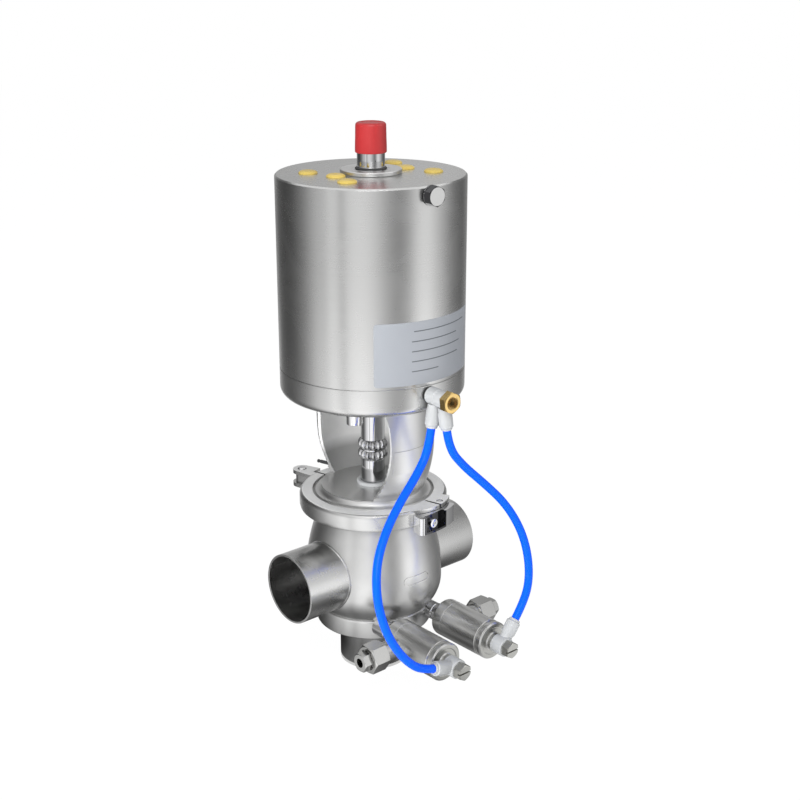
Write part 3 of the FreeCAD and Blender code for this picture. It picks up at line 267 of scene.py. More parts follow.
def ranged(tree, value, low, high, start=0.25, end=0.75):
    """Maps a value that runs from start to end to one that runs from low to high."""
    node = tree.nodes.new("ShaderNodeMapRange")
    tree.links.new(value, node.inputs["Value"])
    node.inputs["From Min"].default_value = start
    node.inputs["From Max"].default_value = end
    node.inputs["To Min"].default_value = low
    node.inputs["To Max"].default_value = high
    return node.outputs["Result"]


def place_pattern(tree, centre, direction):
    where = tree.nodes.new("ShaderNodeTexCoord")
    mapping = tree.nodes.new("ShaderNodeMapping")
    mapping.vector_type = "TEXTURE"
    mapping.inputs["Location"].default_value = [part * MM for part in centre]
    turn = up.rotation_difference(Vector(direction)).to_euler()
    mapping.inputs["Rotation"].default_value = turn
    tree.links.new(where.outputs["Object"], mapping.inputs["Vector"])
    return mapping.outputs["Vector"]


def start_material(name):
    material = bpy.data.materials.new(name)
    material.use_nodes = True
    tree = material.node_tree
    return material, tree, tree.nodes["Principled BSDF"]


def add_group(tree, group, vector, **values):
    node = tree.nodes.new("ShaderNodeGroup")
    node.node_tree = group
    tree.links.new(vector, node.inputs["Vector"])
    for label, value in values.items():
        node.inputs[label].default_value = value
    return node


def bump(tree, shader, height, distance):
    node = tree.nodes.new("ShaderNodeBump")
    node.inputs["Distance"].default_value = distance * MM
    node.inputs["Strength"].default_value = 1.0
    link_chain(tree, (height, node.inputs["Height"]),
               (node.outputs["Normal"], shader.inputs["Normal"]))


def wander(tree, shader, colour, shares, shade, rough, wear, start=0.0, end=1.0):
    """Lets the colour wander with shade and the roughness with wear, each between two ends."""
    low, high = [[min(part * share, 1.0) for part in colour] for share in shares]
    link_chain(tree, (mix_colours(tree, ranged(tree, shade, 0.0, 1.0), low, high),
                      shader.inputs["Base Color"]),
               (ranged(tree, wear, rough[0], rough[1], start, end), shader.inputs["Roughness"]))


print("finish helpers ready")

# %% [markdown]
# ### The steel finishes
#
# All stainless pieces share two recipes: a full metal whose colour and roughness wander a
# little with the turning lines and the smears, and the same with the dents of blasting. Both
# reliefs are very shallow, because polished steel shows even a thousandth of a millimetre.

# %% Recipes for metals
line_depth = 0.0001
dent_depth = 0.003


def turned_steel(name, tone=(0.62, 0.62, 0.615), rough=(0.25, 0.3), centre=origin,
                 direction=up, fineness=1400.0):
    """Metal with lathe lines round one axis."""
    material, tree, shader = start_material(name)
    vector = place_pattern(tree, centre, direction)
    lines = add_group(tree, turning, vector, Fineness=fineness)
    marks = add_group(tree, smears, vector)
    shade = math_node(tree, "ADD", math_node(tree, "MULTIPLY", lines.outputs["Lines"], 0.8),
                      math_node(tree, "MULTIPLY", lines.outputs["Bands"], 0.2))
    wear = math_node(tree, "ADD", math_node(tree, "MULTIPLY", lines.outputs["Lines"], 0.3),
                     math_node(tree, "MULTIPLY", marks.outputs["Smear"], 0.7))
    shader.inputs["Metallic"].default_value = 1.0
    wander(tree, shader, tone, (0.98, 1.02), shade, rough, wear, 0.25, 0.75)
    bump(tree, shader, lines.outputs["Lines"], line_depth)
    return material


def blasted_steel(name, tone=(0.6, 0.6, 0.595), rough=(0.28, 0.36), metal=1.0):
    """Metal with the fine, even dents of bead blasting; a dull cast skin is less metallic."""
    material, tree, shader = start_material(name)
    vector = place_pattern(tree, origin, up)
    dents = add_group(tree, grain, vector)
    marks = add_group(tree, smears, vector)
    shader.inputs["Metallic"].default_value = metal
    wander(tree, shader, tone, (0.93, 1.06), dents.outputs["Cloud"], rough,
           marks.outputs["Smear"])
    bump(tree, shader, dents.outputs["Dents"], dent_depth)
    return material


def painted_shade_below(material, low, high, share):
    """Paints shade on a finish: darker below a height, with a soft border from low to high."""
    tree = material.node_tree
    shader = tree.nodes["Principled BSDF"]
    plain = shader.inputs["Base Color"].links[0].from_socket
    where = tree.nodes.new("ShaderNodeTexCoord")
    split = tree.nodes.new("ShaderNodeSeparateXYZ")
    dim = tree.nodes.new("ShaderNodeVectorMath")
    dim.operation = "SCALE"
    link_chain(tree, (where.outputs["Object"], split.inputs[0]), (plain, dim.inputs[0]),
               (ranged(tree, split.outputs["Z"], share, 1.0, low * MM, high * MM),
                dim.inputs["Scale"]),
               (dim.outputs[0], shader.inputs["Base Color"]))


print("metal recipes ready")

# %% [markdown]
# ### The moulded finishes
#
# Plastics and rubber share one recipe too: a colour that drifts slightly, a skin with a very
# fine moulded texture, and a clear coat only where the real piece is glossy.

# %% A recipe for plastics and rubber
def moulded(name, colour, rough, depth=0.006, drift=0.08, coat=0.0, glow=0.0, shine=0.5):
    material, tree, shader = start_material(name)
    vector = place_pattern(tree, origin, up)
    skin = add_group(tree, grain, vector, Size=900.0)
    marks = add_group(tree, smears, vector, Size=60.0)
    shader.inputs["Coat Weight"].default_value = coat
    shader.inputs["Coat Roughness"].default_value = 0.06
    shader.inputs["Specular IOR Level"].default_value = shine
    shader.inputs["Subsurface Weight"].default_value = glow
    shader.inputs["Subsurface Radius"].default_value = colour
    shader.inputs["Subsurface Scale"].default_value = 1.5 * MM
    wander(tree, shader, colour, (1.0 - drift, 1.0 + drift), skin.outputs["Cloud"],
           (rough * 0.85, rough * 1.2), marks.outputs["Smear"])
    bump(tree, shader, skin.outputs["Dents"], depth)
    return material


print("plastic recipe ready")

# %% [markdown]
# ### The palette
#
# Most lines below are one finish of the real valve. Steel that is only turned is satin, the
# castings are blasted, the rods are ground and chromed, and the unions are nickel plated. A few
# are copies that carry painted light or painted shade, and their lines say so. The colours were
# chosen under this scene's own lights. The dictionary ties the finishes to the material slots
# of the CAD record.

# %% Mix the finishes
satin = turned_steel("satin_turned_steel")
satin_run = turned_steel("satin_steel_along_the_run", (0.56, 0.56, 0.555), (0.25, 0.3),
                         (0.0, 0.0, 108.5), (1.0, 0.0, 0.0))
satin_soft = turned_steel("satin_soft_steel", (0.68, 0.68, 0.675), (0.34, 0.4))
satin_cast = blasted_steel("blasted_cast_steel")
# A paler, less metallic copy of the cast steel for the lantern's inside: its paler colour is
# painted light, and the darkening below 214 to 226 mm is painted shade.
inside_painted_light_and_shade = blasted_steel("cast_inside_with_painted_light_and_shade", (0.9, 0.9, 0.89), (0.42, 0.5), metal=0.4)
painted_shade_below(inside_painted_light_and_shade, 214.0, 226.0, 0.45)
# A paler, less metallic copy for the clamp's top faces: painted light on the tops.
painted_light_tops = blasted_steel("steel_with_painted_light_on_top", (0.8, 0.8, 0.79), (0.38, 0.46), metal=0.3)
# Near black: painted shade and painted dark reflection on the vent's flats, the window's far
# step and the latch pocket.
painted_dark_steel = turned_steel("steel_with_painted_shade_and_reflection", (0.07, 0.07, 0.075), (0.1, 0.16))
nickel = turned_steel("nickel_plated_steel", (0.5, 0.5, 0.49), (0.12, 0.19),
                      fineness=1500.0)
plated = turned_steel("zinc_plated_steel", (0.46, 0.46, 0.43), (0.3, 0.4))
# A darker copy for the end faces of the cleaning valves and slotted screws: painted shade.
painted_shade_faces = turned_steel("faced_steel_with_painted_shade", (0.33, 0.33, 0.315), (0.32, 0.38))
chrome = turned_steel("polished_steel", (0.76, 0.76, 0.77), (0.05, 0.09),
                      fineness=1500.0)
rod_chrome = turned_steel("hard_chromed_steel", (0.62, 0.62, 0.63), (0.03, 0.06),
                          fineness=1500.0)
dark_steel = turned_steel("oiled_spring_steel", (0.3, 0.3, 0.31), (0.3, 0.42))
aluminium = turned_steel("turned_aluminium", (0.72, 0.72, 0.73), (0.3, 0.4))
brass = turned_steel("turned_brass", (0.71, 0.5, 0.2), (0.16, 0.26), (0.0, 0.0, 309.0),
                     (-0.0698, -0.9976, 0.0))
rubber = moulded("black_rubber", (0.02, 0.02, 0.021), 0.55, 0.02)
dark_plastic = moulded("dark_moulded_plastic", (0.03, 0.03, 0.032), 0.42, 0.015)
white_plastic = moulded("white_moulded_plastic", (0.44, 0.45, 0.455), 0.34, coat=0.1,
                        glow=0.15)
yellow_plastic = moulded("yellow_moulded_plastic", (0.7, 0.52, 0.12), 0.35, drift=0.12)
red_plastic = moulded("red_moulded_plastic", (0.4, 0.02, 0.022), 0.45, 0.01)
blue_plastic = moulded("blue_tube_plastic", (0.0, 0.105, 0.95), 0.3, 0.002, drift=0.04,
                       shine=0.15)
finishes = {"satin_steel": satin, "polished_steel": chrome, "spring_steel": dark_steel,
            "aluminium": aluminium, "brass": brass, "black_rubber": rubber,
            "dark_polymer": dark_plastic, "white_polymer": white_plastic,
            "yellow_polymer": yellow_plastic, "red_polymer": red_plastic,
            "blue_polymer": blue_plastic}
print(len(finishes), "slots have a finish")

# %% [markdown]
# Every CAD node takes the finish of its material slot. The pieces that are modelled anew
# further down hide their nodes, and the rest, mostly inner parts, keep this finish.

# %% Give every CAD node its finish
record = frame["record"]
slot_of = {part["node"]: part["material_slot"] for part in record["subparts"]}
body_of = {node: body for body, members in record["behaviour"]["bodies"].items()
           for node in members}
for name, thing in nodes.items():
    thing.data.materials.clear()
    thing.data.materials.append(finishes[slot_of[name]])
for tube in (left_tube, right_tube):
    tube.data.materials.append(blue_plastic)
print(len(nodes), "nodes have a finish")

# %% [markdown]
# ## Making pieces
#
# Many profiles have a large round corner. Three places fix a circle, so a corner can be
# written down by its start, one place on it and its end, as it is read off a drawing.

# %% A helper for round corners
def arc(start, middle, end, steps=8):
    """Corners on the circle through three (radius, height) places, without the first."""
    (ax, ay), (bx, by), (cx, cy) = start, middle, end
    spread = 2.0 * (ax * (by - cy) + bx * (cy - ay) + cx * (ay - by))
    sq_a, sq_b, sq_c = ax * ax + ay * ay, bx * bx + by * by, cx * cx + cy * cy
    ux = (sq_a * (by - cy) + sq_b * (cy - ay) + sq_c * (ay - by)) / spread
    uy = (sq_a * (cx - bx) + sq_b * (ax - cx) + sq_c * (bx - ax)) / spread
    reach = math.hypot(ax - ux, ay - uy)
    first = math.atan2(ay - uy, ax - ux)
    turn = math.atan2(cy - uy, cx - ux) - first
    side = (bx - ax) * (cy - ay) - (by - ay) * (cx - ax)
    if side > 0.0 and turn < 0.0:
        turn += 2.0 * math.pi
    if side < 0.0 and turn > 0.0:
        turn -= 2.0 * math.pi
    return [(ux + reach * math.cos(first + turn * k / steps),
             uy + reach * math.sin(first + turn * k / steps)) for k in range(1, steps + 1)]


print("a quarter circle in corners:", len(arc((1.0, 0.0), (0.7071, 0.7071), (0.0, 1.0))))

# %% [markdown]
# ### Turned shapes
#
# Most pieces of a valve come off a lathe. So the main helper takes half of a section, a few
# (radius, height) corners, and spins it once round with the ends merged. The shape is drawn
# on +Z and then carried to its place, because a profile is easiest to read that way.

# %% Helpers for turned shapes
def spun(corners, steps=96, ring=False, first=0.0, sweep=360.0):
    """A bmesh spun round Z from (radius, height) corners; a ring's section is closed."""
    bm = bmesh.new()
    verts = [bm.verts.new((r * MM, 0.0, z * MM)) for r, z in corners]
    pairs = list(zip(verts, verts[1:]))
    if ring:
        pairs.append((verts[-1], verts[0]))
    wire = [bm.edges.new(pair) for pair in pairs]
    whole = sweep >= 360.0
    caps = []
    if ring and not whole:
        caps.append(bm.faces.new(verts))
    bmesh.ops.rotate(bm, verts=verts, cent=origin,
                     matrix=Matrix.Rotation(math.radians(first), 3, "Z"))
    bmesh.ops.spin(bm, geom=verts + wire + caps, cent=origin, axis=up,
                   angle=math.radians(sweep), steps=steps, use_merge=whole)
    bmesh.ops.remove_doubles(bm, verts=bm.verts, dist=0.001 * MM)
    return bm


def section(inner, outer, low, high):
    """The four corners of a plain ring's section, or of a bar's when inner is zero."""
    return [(inner, low), (outer, low), (outer, high), (inner, high)]


def laid(bm, centre, direction=up):
    """Carries a shape drawn on +Z to a place and a direction."""
    turn = up.rotation_difference(Vector(direction)).to_matrix().to_4x4()
    place = Matrix.Translation(Vector(centre) * MM) @ turn
    bmesh.ops.transform(bm, matrix=place, verts=bm.verts)
    return bm


def joined(*shapes):
    """One bmesh from several."""
    whole = bmesh.new()
    for shape in shapes:
        part = bpy.data.meshes.new("part")
        shape.to_mesh(part)
        shape.free()
        whole.from_mesh(part)
        bpy.data.meshes.remove(part)
    return whole


print("turned shapes ready")

# %% [markdown]
# ### From a shape to a finished piece
#
# A finished piece stands for one or more CAD nodes, rides the same body and takes the same
# material slot. Its sharp edges can get a small real bevel from a modifier that only takes edges
# sharper than an angle, as a deburring tool does. Faces that were machined or left raw can take
# a second finish, and some faces take a copy that carries painted light or painted shade.

# %% Helpers that finish a piece
edge_angle = math.radians(28.0)


def new_object(bm, name):
    """An object from a bmesh, with its faces outwards; a thin ring may need the second look."""
    bmesh.ops.recalc_face_normals(bm, faces=bm.faces)
    if bm.calc_volume(signed=True) < 0.0:
        bmesh.ops.reverse_faces(bm, faces=bm.faces)
    mesh = bpy.data.meshes.new(name)
    bm.to_mesh(mesh)
    bm.free()
    thing = bpy.data.objects.new(name, mesh)
    bpy.context.scene.collection.objects.link(thing)
    return thing


def smoothed(thing, edge=0.0, segments=2):
    """Smooth shading; sharp edges get a real bevel of that many millimetres, or stay sharp."""
    thing.data.shade_smooth()
    if edge:
        bevel = thing.modifiers.new("deburred", "BEVEL")
        bevel.width = edge * MM
        bevel.segments = segments
        bevel.limit_method = "ANGLE"
        bevel.angle_limit = edge_angle
        bevel.harden_normals = True
        bevel.miter_outer = "MITER_ARC"
    else:
        thing.data.set_sharp_from_angle(angle=edge_angle)
    return thing


made = []


def piece(shape, name, *stood_for, like=None, finish=None, edge=0.0, segments=2):
    """Turns a bmesh or an object into a finished piece.

    It stands for the CAD nodes named, or is only like one of them, and takes its body and
    its material slot from the first.
    """
    node = like or stood_for[0]
    thing = new_object(shape, name) if isinstance(shape, bmesh.types.BMesh) else shape
    smoothed(thing, edge, segments)
    thing.data.materials.clear()
    thing.data.materials.append(finish or finishes[slot_of[node]])
    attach(thing, body_of[node])
    if stood_for:
        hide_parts(*stood_for)
    made.append(thing)
    return thing


def refinish(thing, finish, wanted):
    """Gives a second finish to the faces for which wanted(face) is true."""
    thing.data.materials.append(finish)
    slot = len(thing.data.materials) - 1
    for face in thing.data.polygons:
        if wanted(face):
            face.material_index = slot


print("finishing helpers ready")

# %% [markdown]
# ### Cuts and joints
#
# Windows, pockets and drilled holes are cut with a second shape, as a milling cutter would.
# Blender does this with a Boolean modifier, which is applied at once here, so that what it
# leaves along the cut can be cleaned.

# %% Helpers for cuts
def taken(thing):
    """The bmesh of an object that was only needed for a cut."""
    bm = bmesh.new()
    bm.from_mesh(thing.data)
    bpy.data.objects.remove(thing)
    return bm


def boolean(thing, tool, operation="DIFFERENCE"):
    """Cuts or joins with another shape, then tidies what the cut leaves along its edges."""
    tool = new_object(tool, "tool") if isinstance(tool, bmesh.types.BMesh) else tool
    cut = thing.modifiers.new("cut", "BOOLEAN")
    cut.operation = operation
    cut.solver = "EXACT"
    cut.object = tool
    bpy.context.view_layer.update()
    view = bpy.context.evaluated_depsgraph_get()
    result = bpy.data.meshes.new_from_object(thing.evaluated_get(view))
    thing.modifiers.clear()
    thing.data = result
    bpy.data.objects.remove(tool)
    bm = bmesh.new()
    bm.from_mesh(result)
    bmesh.ops.remove_doubles(bm, verts=bm.verts, dist=0.01 * MM)
    bmesh.ops.dissolve_degenerate(bm, edges=bm.edges, dist=0.01 * MM)
    bm.to_mesh(result)
    bm.free()
    return thing


def bar(radius, length, centre=origin, direction=up, steps=64):
    """A plain round bar, mostly a tool for a cut."""
    return laid(spun(section(0.0, radius, 0.0, length), steps), centre, direction)


def extruded(bm):
    """Extrudes all faces and gives back the new points, ready to be moved."""
    parts = bmesh.ops.extrude_face_region(bm, geom=bm.faces[:])["geom"]
    return [part for part in parts if isinstance(part, bmesh.types.BMVert)]


def plate(outline, bottom, height):
    """A flat plate: an outline of (x, y) corners, given a height."""
    bm = bmesh.new()
    bm.faces.new([bm.verts.new((x * MM, y * MM, bottom * MM)) for x, y in outline])
    bmesh.ops.translate(bm, vec=(0.0, 0.0, height * MM), verts=extruded(bm))
    return bm


def polar(radius, turn):
    """A flat place by its distance from the axis and its bearing in degrees."""
    angle = math.radians(turn)
    return Vector((radius * math.cos(angle), radius * math.sin(angle)))


print("cutting helpers ready")

# %% [markdown]
# ### Hexagons
#
# A hexagon nut is turned first and milled after, which leaves the curved edge on each flat.
# The helper does the same: it spins a blank and then presses every point that stands outside
# the hexagon onto its flat. Where the point was on the coned end, it drops along the cone.

# %% A helper for hexagon bars
slope = math.tan(math.radians(30.0))
face_share = 0.97
hexagon_steps = 72


def hexagon(across, length, coned=(False, True), bore=0.0):
    """A hexagon bar on +Z; coned says which of its two ends are turned off."""
    flat = across / 2.0
    corner = across / math.sqrt(3.0)
    fall = (corner - flat) * slope
    inner = flat * face_share
    bottom = [(inner, 0.0), (corner, fall)] if coned[0] else [(corner, 0.0)]
    top = [(corner, length - fall), (inner, length)] if coned[1] else [(corner, length)]
    if bore:
        bm = spun([(bore, 0.0)] + bottom + top + [(bore, length)], hexagon_steps, ring=True)
    else:
        bm = spun([(0.0, 0.0)] + bottom + top + [(0.0, length)], hexagon_steps)
    for vert in bm.verts:
        reach = math.hypot(vert.co.x, vert.co.y) / MM
        if reach < corner - 0.01:
            continue
        turn = math.degrees(math.atan2(vert.co.y, vert.co.x)) - 30.0
        off_flat = (turn % 60.0) - 30.0
        wanted = flat / math.cos(math.radians(off_flat))
        drop = (wanted - inner) * slope * MM
        vert.co.x *= wanted / reach
        vert.co.y *= wanted / reach
        if coned[1] and vert.co.z > length * MM / 2.0:
            vert.co.z = length * MM - drop
        if coned[0] and vert.co.z < length * MM / 2.0:
            vert.co.z = drop
    return bm


print("hexagon helper ready")

# %% [markdown]
# ## The actuator
#
# The actuator is a thick base ring with a rounded lower edge and a tall shell. On the real
# valve both are turned from stainless bar and tube, and a thin seam shows where they meet.
# A small chamfer on each side of the seam makes that dark line with real geometry.

# %% Turn the base ring and the shell
actuator_r = 90.2
base_bottom = 290.0
seam_z = 317.8
shell_top = 503.2
seam_chamfer = 0.5
base_corners = [(17.9, base_bottom), (actuator_r - 9.0, base_bottom)]
base_corners += arc(base_corners[-1], (actuator_r - 2.64, base_bottom + 2.64),
                    (actuator_r, base_bottom + 9.0), 10)
base_corners += [(actuator_r, seam_z - seam_chamfer), (actuator_r - seam_chamfer, seam_z),
                 (84.0, seam_z), (84.0, 330.0), (80.0, 330.0), (80.0, 322.0), (17.9, 322.0)]
base = piece(spun(base_corners, 160, ring=True), "base_ring_turned", "actuator_base", edge=0.4)

shell_corners = [(87.1, seam_z + 0.02), (actuator_r - seam_chamfer, seam_z + 0.02),
                 (actuator_r, seam_z + seam_chamfer), (actuator_r, shell_top - 1.5),
                 (actuator_r - 1.5, shell_top), (21.0, shell_top), (21.0, shell_top - 8.0),
                 (87.1, shell_top - 8.0)]
shell = piece(spun(shell_corners, 160, ring=True), "shell_turned", "actuator_shell", edge=0.3)
print("actuator:", len(base.data.polygons), len(shell.data.polygons), "faces")

# %% [markdown]
# ### Top of the actuator
#
# Six yellow plugs close the screw holes in the lid. A steel bush with a broad flange guides
# the chromed rod, a soft wiper keeps dirt out, and a red cap shows where the plug stands.

# %% Lid fittings
actuator_turn = -4.0


def on_lid(x, y):
    """A place on the lid, turned with the actuator."""
    turn = math.radians(actuator_turn)
    return (x * math.cos(turn) - y * math.sin(turn), x * math.sin(turn) + y * math.cos(turn),
            shell_top)


plug_places = [(sign * x, y) for sign in (-1.0, 1.0)
               for x, y in ((40.0, 0.0), (49.5, 31.5), (49.5, -31.5))]
plug_half = ([(0.0, -4.9), (4.7, -4.9), (4.7, 0.0), (9.0, 0.0), (9.0, 1.1)]
             + arc((9.0, 1.1), (7.2, 2.38), (4.05, 2.8), 6) + [(1.2, 2.85), (0.9, 2.5),
                                                              (0.0, 2.4)])
plugs = piece(joined(*[laid(spun(plug_half, 40), on_lid(x, y)) for x, y in plug_places]),
              "lid_plugs", "top_plugs", edge=0.15)

bush_top = shell_top + 4.1
bush = piece(spun([(13.25, shell_top - 15.0), (20.9, shell_top - 15.0), (20.9, shell_top),
                   (28.4, shell_top), (29.2, shell_top + 0.8), (29.2, bush_top - 0.6),
                   (28.6, bush_top), (17.4, bush_top), (16.8, bush_top - 0.5),
                   (13.25, bush_top - 0.5)], 128, ring=True),
             "rod_bush_turned", "upper_bush", finish=satin_soft, edge=0.2)
wiper = piece(spun([(13.25, bush_top), (15.2, bush_top), (15.0, bush_top + 0.7),
                    (13.9, bush_top + 1.5), (13.25, bush_top + 1.5)], 96, ring=True),
              "rod_wiper_lip", "rod_wiper", edge=0.15)
cap_bottom = 522.0
cap_top = 550.0
cap_corners = [(13.3, cap_bottom), (14.3, cap_bottom), (14.9, cap_bottom + 0.8),
               (14.85, cap_bottom + 6.0), (14.6, cap_bottom + 14.0), (14.4, cap_top - 3.0)]
cap_corners += arc(cap_corners[-1], (13.52, cap_top - 0.88), (11.4, cap_top), 6)
cap_corners += [(9.8, cap_top), (9.3, cap_top - 0.5), (0.0, cap_top - 0.5)]
cap = piece(spun(cap_corners + [(0.0, cap_bottom + 18.1), (13.3, cap_bottom + 18.1)], 96,
                 ring=True), "position_cap", "indicator_cap", edge=0.25)
print("lid:", plugs.name, bush.name, wiper.name, cap.name)

# %% [markdown]
# ### The rod and the vent
#
# The rod is ground and chromed, so its shade comes only from what it mirrors. The vent is a
# hexagon plug high on the shell. Its flats take a near-black colour as a painted dark
# reflection, and its end is turned pale, so the faces that look straight out take a second
# finish.

# %% Rod and vent plug
def outward(radius, z):
    """A place straight out from the axis towards the vent and the air screw."""
    angle = math.radians(actuator_turn - 90.0)
    return (radius * math.cos(angle), radius * math.sin(angle), z)


rod_r = 11.8
rods_meet = 228.5
rod_corners = [(0.0, rods_meet), (9.0, rods_meet), (9.0, 240.0), (rod_r, 240.0),
               (rod_r, 323.0), (10.8, 323.0), (10.8, 325.5), (rod_r, 325.5), (rod_r, 347.0),
               (13.2, 347.0), (13.2, 540.0), (0.0, 540.0)]
rod = piece(spun(rod_corners, 96), "rod_ground", "actuator_rod", finish=rod_chrome, edge=0.35)
vent_z = 494.7
vent_side = outward(1.0, 0.0)
vent_head = laid(hexagon(17.0, 8.0), outward(actuator_r + 1.0, vent_z), vent_side)
vent_washer = bar(9.5, 1.0, outward(actuator_r, vent_z), vent_side)
vent_shank = laid(spun(section(0.0, 4.4, -11.9, 0.0), 32), outward(actuator_r, vent_z),
                  vent_side)
# The flats' near-black colour is a painted dark reflection.
vent = piece(joined(vent_head, vent_washer, vent_shank), "vent_hexagon", "vent_plug",
             finish=painted_dark_steel, edge=0.25)
refinish(vent, satin_soft, lambda face: face.normal.dot(Vector(vent_side)) > 0.95)
print("rod and vent:", rod.name, vent.name)

# %% [markdown]
# ## The lantern
#
# The lantern is a cast bowl with one large window, so the stem and its coupling can be seen
# and reached. It could be cut from a subdivided cage, but a spun bowl and one sharp cutter
# keep the wall even, and the edge bevel then rounds the window as a file would.

# %% Spin the bowl
lantern_r = 61.0
lantern_wall = 5.0
straight_z = 240.0
foot_r = 51.3
foot_z = 191.6
floor_z = 193.0
deck_top = 290.0


def bowl_radius(radius, z):
    """Half width of the bowl at a height; radius is what it has in its straight part."""
    if z > straight_z:
        return radius
    inset = lantern_r - foot_r
    drop = straight_z - foot_z
    reach = (inset ** 2 + drop ** 2) / (2.0 * inset)
    wall = lantern_r - radius
    return lantern_r - reach + math.sqrt((reach - wall) ** 2 - (z - straight_z) ** 2)


def bowl_line(radius, low, high, steps=14):
    return [(bowl_radius(radius, low + (high - low) * k / steps), low + (high - low) * k / steps)
            for k in range(steps + 1)]


flange_bottom = 179.5
foot_flange = (58.0, 186.7)
bowl_corners = [(15.2, flange_bottom), (66.0, flange_bottom), (66.0, flange_bottom + 3.4),
                (59.6, flange_bottom + 5.7), foot_flange]
bowl_corners += arc(foot_flange, (53.3, 187.7), (foot_r, foot_z), 6)
bowl_corners += bowl_line(lantern_r, foot_z, straight_z)[1:]
bowl_corners += [(lantern_r, deck_top), (lantern_r - lantern_wall, deck_top)]
bowl_corners += bowl_line(lantern_r - lantern_wall, floor_z, straight_z)[::-1]
bowl_corners += [(15.2, floor_z)]
bowl = new_object(spun(bowl_corners, 160, ring=True), "lantern_cast")
print("bowl:", len(bowl.data.polygons), "faces")

# %% [markdown]
# The window's two edges are not alike. The near one swells in the middle and draws in at the
# floor, and the far one spreads towards the floor. Each is one curve of four poles, given as a
# bearing from the window's middle and a height. The cutter widens away from the axis, so the
# cut stays square to the wall. A second, slightly wider cut goes only into the outer skin of
# the far edge and leaves a narrow step there, whose faces take a near-black colour as a line
# of painted shade.

# %% Cut the window
window_near = ((57.0, 292.0), (70.0, 256.0), (69.0, 228.0), (50.0, floor_z))
window_far = ((61.0, 292.0), (60.6, 256.0), (56.8, 228.0), (73.0, floor_z))
cutter_start = 8.0
cutter_growth = 10.0
rebate_depth = 2.0
rebate_low = floor_z + 6.0
rebate_top = 286.0


def bezier(poles, steps=20):
    """Places along a smooth curve with four poles."""
    points = []
    for k in range(steps + 1):
        t = k / steps
        weights = ((1 - t) ** 3, 3 * t * (1 - t) ** 2, 3 * t * t * (1 - t), t ** 3)
        points.append(tuple(sum(w * p[i] for w, p in zip(weights, poles)) for i in range(2)))
    return points


def window_edge(poles, side, wider):
    """One edge as (slope from the window's middle, height) places."""
    return bezier([(side * math.tan(math.radians(turn + wider)), z) for turn, z in poles])


def window_cutter(near_wider=0.0, far_wider=0.0):
    """The window's cutter; each edge can be moved outward by some degrees."""
    cutter = bmesh.new()
    outline = window_edge(window_near, -1.0, near_wider)
    outline += window_edge(window_far, 1.0, far_wider)[::-1]
    rim = [cutter.verts.new((-cutter_start * MM, share * cutter_start * MM, z * MM))
           for share, z in outline]
    cutter.faces.new(rim)
    bmesh.ops.scale(cutter, vec=(cutter_growth, cutter_growth, 1.0), verts=extruded(cutter))
    return cutter


boolean(bowl, window_cutter())
skin = spun(bowl_line(lantern_r - rebate_depth, rebate_low, rebate_top)
            + [(70.0, rebate_top), (70.0, rebate_low)], 160, ring=True)
rebate = boolean(new_object(skin, "rebate"), window_cutter(near_wider=-3.0, far_wider=2.0),
                 "INTERSECT")
boolean(bowl, rebate)
print("window cut:", len(bowl.data.polygons), "faces")

# %% [markdown]
# The deck under the actuator closes the bowl, and a slightly raised pad stands on the outside
# of the wall. The casting is left as blasted inside, and the faces inside the wall and round the
# window take that second finish. Its paler colour is painted light, and its darkening towards
# the floor is painted shade. The window's far step takes a near-black third finish, which is
# painted shade.

# %% Deck, pad and the inside with painted light and shade
def place_in_wall(face):
    """A face's height, its depth under the bowl's skin, and how far it looks outward."""
    height = face.center.z / MM
    depth = bowl_radius(lantern_r, height) - face.center.xy.length / MM
    return height, depth, face.normal.xy.dot(face.center.xy.normalized())


def is_inside(face):
    height, depth, facing = place_in_wall(face)
    return height > floor_z + 0.5 and depth > 0.1 and facing < 0.5


def in_far_step(face):
    height, depth, facing = place_in_wall(face)
    on_far_side = face.center.y > 0.0 and abs(face.normal.z) < 0.7
    on_step = (facing > 0.9 and depth > 1.0) or (facing < 0.5 and 0.1 < depth < rebate_depth)
    return rebate_low < height < rebate_top and on_far_side and on_step


pad = spun(section(57.0, 61.7, 222.0, 245.0), 24, ring=True, first=-111.0, sweep=37.0)
boolean(bowl, pad, "UNION")
lantern = piece(bowl, "lantern_cast", "lantern", finish=satin_soft, edge=0.35)
# The inside's paler colour is painted light, and it grows darker towards the floor as painted
# shade.
refinish(lantern, inside_painted_light_and_shade, is_inside)
# The far step's near-black colour is a line of painted shade.
refinish(lantern, painted_dark_steel, in_far_step)
deck_bottom = 280.0
deck_face = deck_top - 0.05
deck = spun(section(24.0, 52.0, deck_bottom, deck_face), 128, ring=True)
deck_rim = spun(section(51.5, 57.0, deck_bottom, deck_face), 96, ring=True, first=-119.0,
                sweep=237.0)
deck_piece = piece(joined(deck, deck_rim), "lantern_deck", like="lantern", finish=satin_cast,
                   edge=0.4)
print("lantern:", len(lantern.data.polygons), "faces, deck:", len(deck_piece.data.polygons))

# %% [markdown]
# ### Screws and the side pin
#
# Four cap screws hold the lantern to the actuator from below. Their heads are turned with a
# hexagon socket and a fine knurl, which is a row of shallow ridges round the head. A short
# dark pin stands in the wall at the back.

# %% Cap screws and pin
def ridged(bm, count, depth, low, high):
    """Presses even grooves into the outside of a turned shape between two heights."""
    outside = max(math.hypot(vert.co.x, vert.co.y) for vert in bm.verts)
    for vert in bm.verts:
        if math.hypot(vert.co.x, vert.co.y) > outside * 0.98 and low <= vert.co.z / MM <= high:
            wave = 0.5 - 0.5 * math.cos(count * math.atan2(vert.co.y, vert.co.x))
            vert.co.xy *= 1.0 - depth * MM * wave / outside
    return bm


